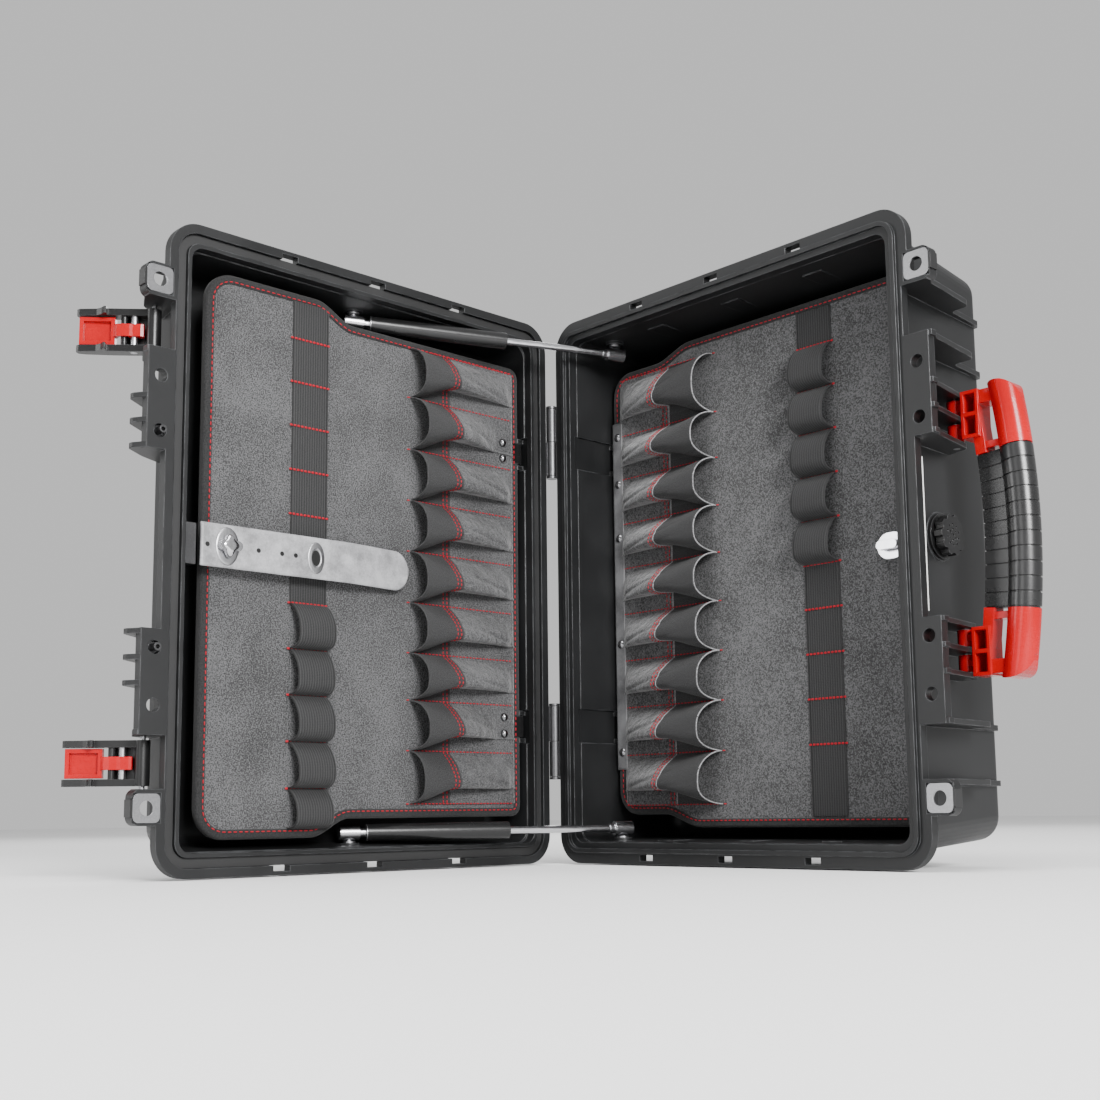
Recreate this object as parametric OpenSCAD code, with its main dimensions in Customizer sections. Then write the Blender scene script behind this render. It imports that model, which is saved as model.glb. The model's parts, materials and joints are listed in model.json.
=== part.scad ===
// Hard tool case with a gasketed rim, two draw latches, a folding handle, two gas struts and two
// swinging tool panels. It stands on one short end with the lid open at a right angle.
//
// Each half is drawn in its own frame: X runs from the hinge axis to the front of the case,
// Y runs from the rim plane into the half, and Z runs along the hinge from mid-width.

/* [Case] */
// Width of the rim, along the hinge
case_w = 474; // [440:1:500]
// Depth of the rim, from its hinge side to its front
rim_depth = 366.6; // [350:0.1:380]
// Distance from the hinge axis to the rim
hinge_gap = 6.4; // [6:0.1:8]
// Height of the base half, from the rim plane to its back
base_h = 128; // [115:1:140]
// Height of the lid half, from the rim plane to its back
lid_h = 58; // [54:1:70]
// Corner radius of the rim
rim_r = 24; // [20:1:30]
// Thickness of the rim flange
flange_t = 8; // [6:0.5:10]
// Width of the rim, from its outer edge to the opening
rim_w = 17.5; // [16:0.5:20]
// How far the walls stand in from the rim's outer edge
wall_inset = 11; // [9:0.5:12]
// How far the walls lean in more at the back of each half
draft = 7; // [3:0.5:8]
// Wall thickness at the back
wall_t = 3.5; // [3:0.5:5]
// How far the lid is open
lid_angle = 90; // [88:1:92]

/* [Latches] */
// Height of each latch's centre above or below mid-width
latch_z = 156.5; // [155:0.5:158]
// Width of the latch arm
latch_w = 32; // [28:1:34]
// Length of the latch arm, from its pivot
latch_len = 55; // [50:1:58]
// How far a latch turns from open to closed
latch_swing = 128; // [120:1:135]

/* [Handle] */
// How far the grip's outer side stands from the handle's pivot
handle_reach = 61; // [56:1:64]
// Distance from mid-width to the end of the handle
handle_end = 106; // [100:1:110]
// Half the length of the rubber grip
grip_half = 59; // [50:1:64]

/* [Panels and struts] */
// Thickness of the tool panels
panel_t = 5; // [4:0.5:6]
// Depth of the lid panel's face below the rim plane
lid_panel_d = 13; // [12:0.5:16]
// Depth of the base panel's face below the rim plane
base_panel_d = 50; // [46:1:56]
// Radius of the gas strut cylinder
strut_r = 7; // [6:0.5:7.5]

/* [Hidden] */

$fn = 48;
eps = 0.01;
z_half = case_w / 2;
// Half of the gap that the seal leaves between the closed rims
rim_gap = 0.25;
rim_s0 = hinge_gap;
rim_s1 = hinge_gap + rim_depth;

// Seal: a groove with a gasket in the lid, and a tongue on the base
groove_out = 7;
groove_in = 14.5;
groove_d = 6;
gasket_t = 2.7;
tongue_out = 9.2;
tongue_in = 12.6;
tongue_h = 2.6;

// Hinges: the barrel's radius, ends, pin and the gap between its knuckles
knuckle_r = 4.7;
hinge_z0 = 101;
hinge_z1 = 165;
hinge_pin_r = 2.5;
knuckle_gap = 0.3;

// Front furniture, as distances from mid-width and from the hinge axis
bracket_z0 = 64;
bracket_z1 = 138;
lug_z0 = 175;
lug_z1 = 200;
plate_s = 387.5;
rib_t = 3.5;
inner_ribs = [66, 84, 102];
pin_hole_z = 77.2;
open_hole_z = 117.4;
bracket_hole_s = 377.5;
bracket_hole_r = 4.8;
eyelet_s = 380;
eyelet_z = 188;
eyelet_r = 5.25;
eyelet_t = 1.5;
pocket_s = 367.4;

// Latch pivot in the lid, and its parts along the arm
latch_s = 372;
latch_d = 24;
latch_pin_r = 2;
cheek_t = 5;
trigger_u = 14;
trigger_v = 1;
trigger_pin_r = 2.5;
bar_u = 21.2;
bar_r = 2.4;
claw_u = latch_d + flange_t + 0.6;
trigger_half = latch_w / 2 - cheek_t - 0.7;
run = 0.05;

// Handle pivot in the base
handle_s = 372;
handle_d = 57;
handle_pin_r = 2.5;
prong_z = [75, 93];
grip_bow_r = 580;
ring_count = 5;
ring_pitch = 10.6;
roll_r = 11;

// Valve
valve_d = 48;
valve_r = 15;

// Gas struts: ball places in each half
strut_z = 208;
lid_ball = [192, 32];
base_ball = [52.6, 29];
cylinder_len = 133;
rod_r = 3;
ball_r = 4.5;
stud_r = 2.5;
boss_z = 216;

// Panels
panel_s0 = 30;
panel_pin_r = 1;
lid_panel_s1 = 336;
base_panel_s1 = 345;
lid_wide = 210;
base_wide = 207;
narrow_z = 196;
lid_step = [205, 240];
base_step = [82, 122];
lid_pivot = [27.6, 15.5];
base_pivot = [28.2, 52.5];
clip_z = 120.5;
clip_t = 1.2;

// Pockets and elastics: seams and tacks from the top down, and swells from heel to mouth
cloth_t = 1.2;
seam_gap = 0.3;
arch_steps = [0, 0.04, 0.14, 0.3, 0.5, 0.7, 0.86, 0.96, 1];
lid_seams = [190.8, 148.4, 104.2, 61.4, 19, -23.4, -64.5, -102.9, -143.6, -186];
base_seams = [190, 139, 99.5, 58.8, 18.8, -22, -63.2, -104.4, -145.8, -189];
lid_swell = [[56, 3], [75, 13], [100, 20], [125, 22.5], [148, 23]];
base_swell = [[42, 6], [60, 17], [85, 24], [115, 27], [148, 28]];
lid_tacks = [-34, -69, -104, -139, -174, -204];
base_tacks = [170, 135, 100, 65, 30, -5];
loop_rise = 14;

// Strap and turn-locks, as distances from the hinge axis
strap_w = 32;
strap_t = 2.4;
strap_d = lid_panel_d - 12.5;
lock_s = 323;
base_lock_s = 318;
strap_holes = [265, 277, 297, 339];
// The strap's loose end stops just above the pockets' mouths
strap_end = 153.5;

// How far the open latches reach behind the lid and past its front
latch_back = 61.19;
latch_front = 414.42;
// Where the case's middle is, seen from the hinge axis
middle_x = (handle_s + handle_reach + 0.4 - latch_back) / 2;
middle_y = (base_h - latch_front) / 2;

// ---------------------------------------------------------------- frames

module stand() translate([-middle_x, -middle_y, z_half]) children();

module open_lid() rotate([0, 0, -lid_angle]) mirror([0, 1, 0]) children();

// Draws a (front, width) outline between two depths
module slab(d0, d1) mirror([0, 1, 0]) rotate([90, 0, 0]) translate([0, 0, d0])
    linear_extrude(d1 - d0) children();

// Draws a (front, depth) outline between two heights
module tier(z0, z1) translate([0, 0, z0]) linear_extrude(z1 - z0) children();

module half(sign) mirror([0, 0, sign < 0 ? 1 : 0]) children();

module both_ends() {
    children();
    mirror([0, 0, 1]) children();
}

module rounded(x0, x1, y0, y1, r) {
    translate([x0 + r, y0]) square([x1 - x0 - 2 * r, y1 - y0]);
    translate([x0, y0 + r]) square([x1 - x0, y1 - y0 - 2 * r]);
    for (x = [x0 + r, x1 - r], y = [y0 + r, y1 - r]) translate([x, y]) circle(r);
}

module rim_outline(off, least = 10)
    rounded(rim_s0 + off, rim_s1 - off, off - z_half, z_half - off, max(rim_r - off, least));

module rim_ring(off0, off1) difference() {
    rim_outline(off0);
    rim_outline(off1);
}

// A pin or bore along Z
module post(s, d, z0, z1, r) translate([s, d, z0]) cylinder(r = r, h = z1 - z0);

// A pin or bore along the depth
module peg(s, z, d0, d1, r) translate([s, d0, z]) rotate([-90, 0, 0]) cylinder(r = r, h = d1 - d0);

// ---------------------------------------------------------------- shells

// A tub: a rounded front outline blended to a rounded back edge
module tub(h, in_front, in_back, d_front, plan_r, edge_r) hull() {
    slab(d_front, d_front + 1) rounded(rim_s0 + in_front, rim_s1 - in_front,
        in_front - z_half, z_half - in_front, plan_r, $fn = 32);
    for (s = [rim_s0 + in_back + plan_r, rim_s1 - in_back - plan_r],
         z = [in_back + plan_r - z_half, z_half - in_back - plan_r])
        translate([s, h - edge_r, z]) rotate([90, 0, 0]) rotate_extrude($fn = 32) intersection() {
            translate([plan_r - edge_r, 0]) circle(edge_r, $fn = 32);
            translate([0, -edge_r]) square([plan_r, 2 * edge_r]);
        }
}

module tub_walls(h) difference() {
    tub(h, wall_inset, wall_inset + draft, flange_t - 2, 18, 12);
    tub(h - wall_t - 0.5, rim_w, back_w, -1, 12, 9);
}

// Where the front wall's outer and inner faces stand at a depth
function wall_s(d, h) = rim_s1 - wall_inset - draft * max(0, d - flange_t + 1) / (h - flange_t - 11);
back_w = wall_inset + draft + wall_t;
function inner_s(d, h) = rim_s1 - rim_w - (back_w - rim_w) * d / (h - wall_t - 9.5);
// Where the hinge wall's inner face stands
function hinge_wall_s(d, h) = rim_s0 + rim_s1 - inner_s(d, h);

// Front plates and lugs, flush with the rim plane
module front_plates() both_ends() {
    slab(rim_gap, flange_t) translate([rim_s1 - 6, bracket_z0])
        square([plate_s - rim_s1 + 6, bracket_z1 - bracket_z0]);
    slab(rim_gap, flange_t + 2) rounded(rim_s1 - 8, eyelet_s + 11, lug_z0, lug_z1, 6);
}

module front_cuts(pin_depth) both_ends() {
    slab(-1, flange_t + 1) translate([pocket_s, bracket_z1 + eps])
        square([rim_s1 - pocket_s + 1, lug_z0 - bracket_z1 - 2 * eps]);
    peg(bracket_hole_s, open_hole_z, -1, flange_t + 1, bracket_hole_r);
    peg(bracket_hole_s, pin_hole_z, -1, pin_depth, bracket_hole_r);
    slab(-1, flange_t + 3) translate([eyelet_s - 7, eyelet_z - 7]) square(14);
    slab(-1, rim_gap + eyelet_t) translate([eyelet_s - 10.3, eyelet_z - 10.3]) square(20.6);
    slab(-1, rim_gap + eyelet_t) translate([eyelet_s, eyelet_z - 6.3]) square([20, 12.6]);
}

// Slots right through the end flanges
module flange_slots() both_ends()
    slab(-1, flange_t + 1) for (k = [-1:1])
        translate([rim_s0 + rim_depth / 2 + 83 * k - 7, z_half - 7.8]) square([14, 5]);

// Gussets under the end flanges
module end_gussets(h) both_ends() for (k = [-1.5:1:1.5])
    translate([rim_s0 + rim_depth / 2 + 83 * k - 1.5, 0, 0]) rotate([90, 0, 90])
        linear_extrude(3) polygon([[flange_t - 1, z_half - 2], [flange_t - 1, z_half - 15],
            [min(40, h - 14), z_half - 15], [min(38, h - 16), z_half - 11.5],
            [flange_t + 9, z_half - 5]]);

// Blocks that carry the hinge leaves
module hinge_blocks() both_ends()
    tier(101.5, 164.5) polygon([[hinge_gap, rim_gap], [24, rim_gap], [26, 28], [18, 28],
        [hinge_gap + 1.5, 23], [hinge_gap, 22]]);

// Outline of a tall rib that sweeps in to the wall, then runs on to the back as a low one
module tall_rib(h, reach, step_d, tail) polygon(concat(
    [[rim_s1 - rim_w + 3, 1], [reach, 1], [reach, 7], [reach - 3, 12]],
    [for (k = [0:4]) let (a = 90 * k / 4) [reach - 14 + 5 * cos(a), step_d - 8 + 8 * sin(a)]],
    [for (k = [0:4]) let (a = 90 * k / 4)
        [wall_s(step_d, h) + tail + 6 - 6 * sin(a), step_d + 6 - 6 * cos(a)]],
    tail > 0 ? [[wall_s(h - 8, h) + tail, h - 10], [wall_s(h, h) + tail - 2, h - 6],
        [wall_s(h, h) - 3, h - 5]] : [],
    [[wall_s(step_d, h) - 3, step_d + 6]]));

// Outline of a rib that carries the handle pin
module pin_rib(d) union() {
    polygon([[rim_s1 - rim_w + 3, 1], [389.5, 1], [389.5, 7], [386, 11], [handle_s + 7, d],
        [handle_s, d + 7], [wall_s(d, base_h) - 3, d + 12]]);
    translate([handle_s, d]) circle(7);
}

module base_shell() color("#2b2d30") {
    difference() {
        union() {
            difference() {
                union() {
                    slab(rim_gap, flange_t) rim_outline(0);
                    tub_walls(base_h);
                }
                slab(-1, flange_t + 1) rim_outline(rim_w);
                both_ends() hinge_wall_recess(23, 54);
            }
            slab(-tongue_h, 1) rim_ring(tongue_out, tongue_in);
            front_plates();
            end_gussets(base_h);
            difference() {
                hinge_blocks();
                slab(-1, 30) rim_outline(rim_w);
                both_ends() hinge_wall_recess(23, 54);
            }
            both_ends() {
                tier(134, bracket_z1) tall_rib(base_h, 390, 74, 4);
                tier(lug_z0, lug_z0 + 4) tall_rib(base_h, 388, 74, 4);
                for (z = inner_ribs) tier(z - rib_t / 2, z + rib_t / 2) pin_rib(handle_d);
            }
            inner_pads();
            stud_bosses(base_ball);
            panel_ears(base_pivot, base_h);
            translate([rim_s1 - 18, valve_d, 0]) rotate([0, 90, 0])
                cylinder(r = valve_r + 3, h = valve_s - rim_s1 + 18);
        }
        front_cuts(flange_t + 1);
        stud_bores(base_ball);
        panel_pin_bores(base_pivot);
        flange_slots();
        both_ends() post(handle_s, handle_d, inner_ribs[0] - 3, inner_ribs[2] + 3, handle_pin_r);
        translate([rim_s1 - 40, valve_d, 0]) rotate([0, 90, 0]) cylinder(r = 8, h = 60);
    }
}

// Shallow pads on the inner end walls that the panels rest against
module inner_pads() both_ends() for (k = [-1:1])
    translate([rim_s0 + rim_depth / 2 + 83 * k - 9, 24, z_half - rim_w - 1.8]) cube([18, 30, 5]);

// Flat bosses on the inner end walls for the ball studs
module stud_bosses(ball) both_ends() post(ball[0], ball[1], boss_z, boss_z + 4, 8);

module stud_bores(ball) both_ends() post(ball[0], ball[1], boss_z - 2, boss_z + 3, stud_r);

// Moulded ears on the hinge wall that hold the panel's hinge pins
module panel_ears(pivot, h) both_ends() for (z = [clip_z - 14, clip_z + 10])
    tier(z, z + 4) union() {
        translate([pivot[0], pivot[1]]) circle(2);
        translate([hinge_wall_s(pivot[1], h) - 4, pivot[1] - 2])
            square([pivot[0] + 4 - hinge_wall_s(pivot[1], h), 4]);
    }

module panel_pin_bores(pivot) both_ends()
    post(pivot[0], pivot[1], clip_z - 15, clip_z + 15, panel_pin_r);

// Recess in the hinge wall beside each panel hinge
module hinge_wall_recess(floor_s, long) translate([floor_s, 6, clip_z - 14.5]) cube([5, long, 29]);

module lid_shell() open_lid() color("#2b2d30") difference() {
    union() {
        difference() {
            union() {
                slab(rim_gap, flange_t) rim_outline(0);
                tub_walls(lid_h);
            }
            slab(-1, flange_t + 1) rim_outline(rim_w);
            both_ends() hinge_wall_recess(22.3, 20);
        }
        front_plates();
        end_gussets(lid_h);
        difference() {
            hinge_blocks();
            slab(-1, 30) rim_outline(rim_w);
            both_ends() hinge_wall_recess(22.3, 20);
        }
        both_ends() {
            tier(134, bracket_z1) lid_rib();
            tier(lug_z0, lug_z0 + 4) lid_rib();
            for (z = inner_ribs) tier(z - rib_t / 2, z + rib_t / 2) knob_rib();
        }
        stud_bosses(lid_ball);
        panel_ears(lid_pivot, lid_h);
    }
    stud_bores(lid_ball);
    panel_pin_bores(lid_pivot);
    slab(-1, groove_d) rim_ring(groove_out, groove_in);
    front_cuts(flange_t - 2);
    flange_slots();
    both_ends() {
        post(latch_s, latch_d, 133, lug_z0 + 5, latch_pin_r);
        peg(bracket_hole_s, pin_hole_z, 0, flange_t + 1, 2.2);
    }
}

// Outline of a lid rib that carries the latch pin
module lid_rib() union() {
    polygon([[rim_s1 - rim_w + 3, 1], [388, 1], [388, 8], [latch_s + 7, latch_d + 3],
        [latch_s, latch_d + 9], [wall_s(latch_d, lid_h) - 3, latch_d + 20]]);
    translate([latch_s, latch_d]) circle(7);
}

// Outline of a lid rib with a round nose past the plate
module knob_rib() union() {
    polygon([[rim_s1 - rim_w + 3, 1], [plate_s, 1], [392, 9], [392, 17], [376, 30],
        [wall_s(30, lid_h) - 3, 42]]);
    translate([387.5, 13]) circle(6);
}

module lid_gasket() open_lid() color("#101112")
    slab(groove_d - gasket_t, groove_d - eps) rim_ring(groove_out + 0.2, groove_in - 0.2);

// ---------------------------------------------------------------- hinges

// A leaf and its half of the barrel: the base holds the upper knuckle, the lid the lower one
module hinge_leaf(z0, z1, bore_r) difference() {
    union() {
        post(0, 0, z0, z1, knuckle_r);
        tier(z0, z1) polygon([[0, 2.2], [0, 4.7], [3.6, 5.6], [3.9, 22], [hinge_gap, 22],
            [hinge_gap, 0.6], [4, 0.6]]);
    }
    post(0, 0, z0 - 1, z1 + 1, bore_r);
}

module hinge_screws(z0, z1) for (z = [z0 + 8, z1 - 8])
    translate([2.6, 15, z]) rotate([0, 90, 0]) cylinder(r1 = 2.6, r2 = 3.4, h = 1.3);

module base_hinge(sign) color("#4a4c4f") half(sign) {
    hinge_leaf((hinge_z0 + hinge_z1 + knuckle_gap) / 2, hinge_z1 - 1.5, hinge_pin_r);
    hinge_screws((hinge_z0 + hinge_z1) / 2, hinge_z1 - 1.5);
}

module lid_hinge(sign) open_lid() color("#4a4c4f") half(sign) {
    hinge_leaf(hinge_z0 + 1.5, (hinge_z0 + hinge_z1 - knuckle_gap) / 2, hinge_pin_r + run);
    hinge_screws(hinge_z0 + 1.5, (hinge_z0 + hinge_z1) / 2);
}

// The pin, with a flat cap at each end
module hinge_pin(sign) color("#8e9195") half(sign) {
    post(0, 0, hinge_z0 + 0.2, hinge_z1 - 0.2, hinge_pin_r);
    post(0, 0, hinge_z0 - 0.8, hinge_z0 + 1.2, knuckle_r);
    post(0, 0, hinge_z1 - 1.2, hinge_z1 + 0.8, knuckle_r);
}

// ---------------------------------------------------------------- eyelets and locating pins

// A folded steel plate round the padlock hole, with a tab over the lug's edge
module eyelet(sign) color("#c9cbcd") half(sign) {
    difference() {
        slab(rim_gap, rim_gap + eyelet_t)
            rounded(eyelet_s - 10, eyelet_s + 10, eyelet_z - 10, eyelet_z + 10, 4);
        peg(eyelet_s, eyelet_z, -1, 3, eyelet_r);
    }
    slab(rim_gap, rim_gap + eyelet_t) translate([eyelet_s + 8, eyelet_z - 6]) square([4.2, 12]);
    slab(rim_gap, 9) translate([eyelet_s + 11, eyelet_z - 6]) square([1.2, 12]);
}

// Hollow pins in the lid brackets that find the holes in the base brackets
module locating_pins() open_lid() color("#5a5c5f") both_ends() difference() {
    union() {
        peg(bracket_hole_s, pin_hole_z, -5, flange_t - 2, 2.8);
        peg(bracket_hole_s, pin_hole_z, flange_t - 4, flange_t - 2, 4.6);
    }
    peg(bracket_hole_s, pin_hole_z, -6, flange_t + 1, 1.5);
}

// ---------------------------------------------------------------- latches

// Draws in a latch's own frame: U along the arm from its pivot, V out of its closed face
module latch_frame(sign) open_lid() half(sign) translate([latch_s, latch_d, latch_z])
    rotate([0, 0, latch_swing - 90]) children();

module cheek_outline() union() {
    circle(5.2);
    polygon([[0, -3.5], [claw_u, -2.8], [claw_u, -8], [claw_u + 1.4, -8.2], [claw_u + 4, -4.5],
        [claw_u + 8, -1.8], [latch_len - 2, -0.5], [latch_len, 1.5], [latch_len - 1, 5],
        [latch_len - 6, 6.4], [30, 7.4], [12, 7.2], [0, 5.2]]);
}

module latch_arm(sign) latch_frame(sign) color("#1e1f21") difference() {
    union() {
        for (k = [-1, 1]) translate([0, 0, k * (latch_w - cheek_t) / 2])
            tier(-cheek_t / 2, cheek_t / 2) cheek_outline();
        tier(-latch_w / 2, latch_w / 2) translate([bar_u, trigger_v]) circle(bar_r);
        tier(-latch_w / 2, latch_w / 2) polygon([[-1, 3.2], [-1, 5.2], [12, 7.2], [20, 7.3],
            [20, 6], [8, 5.2]]);
        tier(-latch_w / 2, latch_w / 2) circle(5.2);
    }
    post(0, 0, -latch_w, latch_w, latch_pin_r + run);
    post(trigger_u, trigger_v, -latch_w, latch_w, trigger_pin_r);
}

module latch_trigger(sign) latch_frame(sign) color("#d3202a") difference() {
    union() {
        // thumb pad, hollow on its inner face
        difference() {
            tier(-trigger_half, trigger_half) polygon([[27.5, 0], [53, 0.8], [53.4, 4.6],
                [46, 5.9], [30, 6.6], [27.5, 6]]);
            tier(3 - trigger_half, trigger_half - 3) polygon([[30.5, -1], [50, -1], [50, 3.2],
                [30.5, 3.8]]);
        }
        // neck under the cross bar, hub on the pin, and nose
        tier(-4.6, 4.6) polygon([[29, 0.2], [29, 4], [26.4, 3.4], [24.8, 0.6], [23.4, -1.2],
            [21.2, -1.8], [18.8, -1.4], [14, -0.6], [14, -2.8], [17, -3.4], [22, -3.6], [26, -2.6]]);
        tier(-4.6, 4.6) polygon([[14, 4], [6.8, 1.5], [6.8, -2.6], [9, -3.2], [14, -2.9]]);
        post(trigger_u, trigger_v, -4.6, 4.6, 3.9);
    }
    post(trigger_u, trigger_v, -9, 9, trigger_pin_r + run);
}

module latch_pin(sign) open_lid() color("#a4a7aa") half(sign)
    post(latch_s, latch_d, bracket_z1 - 4, lug_z0 + 4, latch_pin_r);

module trigger_pin(sign) latch_frame(sign) color("#a4a7aa")
    post(trigger_u, trigger_v, -latch_w / 2, latch_w / 2, trigger_pin_r);

// ---------------------------------------------------------------- handle

// Draws in the handle's own frame: T out from its pivot, and depth from its pivot
module handle_frame() translate([handle_s, handle_d, 0]) children();

// Reach of the grip's bowed outer side at a distance from mid-width
function bow(z) = sqrt(grip_bow_r * grip_bow_r - z * z) - grip_bow_r + handle_reach;

module handle_end(sign) handle_frame() half(sign) color("#d3202a") difference() {
    union() {
        for (z = prong_z) {
            post(0, 0, z - 6, z + 6, 6);
            tier(z - 2.5, z + 2.5) polygon([[0, -5], [12, -4], [12, 4], [0, 5]]);
        }
        // cell block, and the inner strip that runs on to the grip
        translate([9.5, -8.5, 68.2]) cube([14, 17, 34.8]);
        grip_arc(grip_half, 98) translate([grip_bow_r - handle_reach + 22, -6.5]) square([8, 13]);
        // outer roll with a rounded end, and the bridge that closes its slot
        intersection() {
            grip_arc(grip_half, handle_end + 3) translate([grip_bow_r - roll_r, 0])
                circle(roll_r + 0.4);
            rotate([90, 0, 0]) linear_extrude(40, center = true) end_outline();
        }
        translate([23, -7.5, handle_end - 14]) cube([18, 15, 10]);
        translate([24, -6, grip_half]) cube([18, 12, 5]);
    }
    post(0, 0, 60, 110, handle_pin_r + run);
    for (z = [70.7, 87.1]) translate([12, -9.5, z]) cube([9, 15, 13.4]);
}

// Outline of the handle's end, with a round outer corner
module end_outline() {
    corner_r = 15;
    corner_t = bow(handle_end - corner_r) - corner_r;
    polygon(concat([[20, 40], [70, 40], [70, handle_end - corner_r - 1]],
        [for (a = [0:15:90])
            [corner_t + corner_r * cos(a), handle_end - corner_r + corner_r * sin(a)]],
        [[20, handle_end]]));
}

// Sweeps a (reach, thickness) outline along the grip's bow between two heights
module grip_arc(z0, z1) translate([handle_reach - grip_bow_r, 0, 0]) rotate([90, 0, 0])
    rotate([0, 0, asin(z0 / grip_bow_r)])
        rotate_extrude(angle = asin(z1 / grip_bow_r) - asin(z0 / grip_bow_r), $fn = 360)
            children();

module handle_grip() handle_frame() color("#1a1b1c") {
    grip_arc(-grip_half, grip_half) grip_section(roll_r - 0.6, 4.6, 22.5);
    for (k = [-ring_count:ring_count])
        translate([handle_reach - grip_bow_r, 0, 0]) rotate([90, 0, 0])
            rotate([0, 0, asin(k * ring_pitch / grip_bow_r)]) rotate([90, 0, 0])
                linear_extrude(ring_pitch - 1.2, center = true)
                grip_section(roll_r + 0.4, 5.5, 22);
}

// Section of the grip: the outer roll and the inner strip
module grip_section(r, half_t, strip) {
    translate([grip_bow_r - roll_r, 0]) circle(r);
    translate([grip_bow_r - handle_reach + strip, -half_t])
        square([handle_reach - strip - roll_r, 2 * half_t]);
}

module handle_pin(sign) color("#a4a7aa") half(sign)
    post(handle_s, handle_d, inner_ribs[0] - rib_t / 2, inner_ribs[2] + rib_t / 2, handle_pin_r);

// ---------------------------------------------------------------- valve and label

valve_s = wall_s(valve_d - 18, base_h) + 0.3;

module valve_body() color("#3a3c3f") translate([valve_s, valve_d, 0]) rotate([0, 90, 0])
    difference() {
        union() {
            translate([0, 0, -8]) cylinder(r = 7.9, h = 9);
            cylinder(r = valve_r + 1.5, h = 2.2);
            translate([0, 0, 2]) cylinder(r = 9, h = 1.4);
            translate([0, 0, 2]) cylinder(r = 3, h = 6);
        }
        translate([0, 0, -9]) cylinder(r = 1.5, h = 20);
    }

module valve_knob() color("#202224") translate([valve_s, valve_d, 0]) rotate([0, 90, 0])
    difference() {
        translate([0, 0, 3.8]) cylinder(r = valve_r, h = 6.6);
        for (k = [0:9]) rotate([0, 0, 36 * k]) translate([valve_r + 1.2, 0, 0])
            cylinder(r = 3.2, h = 20);
        translate([0, 0, 3]) cylinder(r = 3 + run, h = 5.4);
        for (ring = [[1, 0], [6, 4], [10, 7.6]]) for (k = [0:ring[0] - 1])
            rotate([0, 0, 360 * k / ring[0]]) translate([ring[1], 0, 9.4])
                cylinder(r = 1, h = 2, $fn = 16);
    }

module blank_label() color("#e6e6e3")
    tier(-56, 56) polygon([[wall_s(10, base_h) + eps, 10], [wall_s(28, base_h) + eps, 28],
        [wall_s(28, base_h) + 0.7, 28], [wall_s(10, base_h) + 0.7, 10]]);

// ---------------------------------------------------------------- gas struts

// Ball places on the standing case, seen from the hinge axis
lid_ball_at = [-lid_ball[1], -lid_ball[0]];
base_ball_at = [base_ball[0], base_ball[1]];
strut_vec = base_ball_at - lid_ball_at;
strut_len = norm(strut_vec);
strut_dir = atan2(strut_vec[1], strut_vec[0]);

// Draws along a strut: X from the lid ball to the base ball
module strut_frame(sign) half(sign) translate([lid_ball_at[0], lid_ball_at[1], strut_z])
    rotate([0, 0, strut_dir]) children();

module along(x0, x1, r) translate([x0, 0, 0]) rotate([0, 90, 0]) cylinder(r = r, h = x1 - x0);

module strut_cylinder(sign) strut_frame(sign) {
    color("#17181a") difference() {
        along(13, cylinder_len, strut_r);
        along(16, cylinder_len - 9, strut_r - 1.2);
        along(cylinder_len - 12, cylinder_len + 1, rod_r + run);
    }
    color("#b9bbbe") difference() {
        union() {
            along(-8, 8, 6);
            along(7, 13.5, 4);
        }
        sphere(ball_r + 0.1);
        post(0, 0, 0, 12, 3.2);
    }
}

module strut_rod(sign) strut_frame(sign) {
    color("#d2d4d6") {
        along(cylinder_len - 18, strut_len - 6, rod_r);
        along(cylinder_len - 22, cylinder_len - 16, strut_r - 1.4);
    }
    color("#b9bbbe") difference() {
        union() {
            along(strut_len - 8, strut_len + 8, 6);
            along(strut_len - 12.5, strut_len - 7, 4);
        }
        translate([strut_len, 0, 0]) sphere(ball_r + 0.1);
    }
}

module lid_stud(sign) open_lid() half(sign) color("#b9bbbe") {
    translate([lid_ball[0], lid_ball[1], strut_z]) sphere(ball_r);
    post(lid_ball[0], lid_ball[1], strut_z, boss_z + 3, stud_r);
    post(lid_ball[0], lid_ball[1], boss_z - 1.5, boss_z, 5);
}

module base_stud(sign) half(sign) color("#b9bbbe") {
    post(base_ball[0], base_ball[1], strut_z + 6.6, boss_z + 3, stud_r);
    post(base_ball[0], base_ball[1], strut_z + 6.6, boss_z, 5);
}

// ---------------------------------------------------------------- tool panels

function ramp(t) = t * t * (3 - 2 * t);

// One long side of a panel, from the hinge side to the front: narrow, then an S, then wide
function panel_side(s0, s1, wide, step, r0, r1) = concat(
    [for (k = [0:4]) let (a = 180 - 90 * k / 4)
        [s0 + r0 + r0 * cos(a), narrow_z - r0 + r0 * sin(a)]],
    [for (k = [0:8]) [step[0] + (step[1] - step[0]) * k / 8,
        narrow_z + (wide - narrow_z) * ramp(k / 8)]],
    [for (k = [0:6]) let (a = 90 - 90 * k / 6) [s1 - r1 + r1 * cos(a), wide - r1 + r1 * sin(a)]]);

module panel_outline(s0, s1, wide, step, r0, r1) {
    side = panel_side(s0, s1, wide, step, r0, r1);
    n = len(side) - 1;
    polygon(concat(side, [for (k = [0:n]) [side[n - k][0], -side[n - k][1]]]));
}

module lid_panel() open_lid() color("#55575a") slab(lid_panel_d, lid_panel_d + panel_t)
    panel_outline(panel_s0, lid_panel_s1, lid_wide, lid_step, 8, 22);

module base_panel() color("#55575a") slab(base_panel_d, base_panel_d + panel_t)
    panel_outline(panel_s0 + 0.6, base_panel_s1, base_wide, base_step, 20, 16);

// Height of a cloth arch, from 0 to 1, across the stretch between two seams
function arch(t) = pow(1 - pow(abs(2 * t - 1), 2.6), 0.6);

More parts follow.
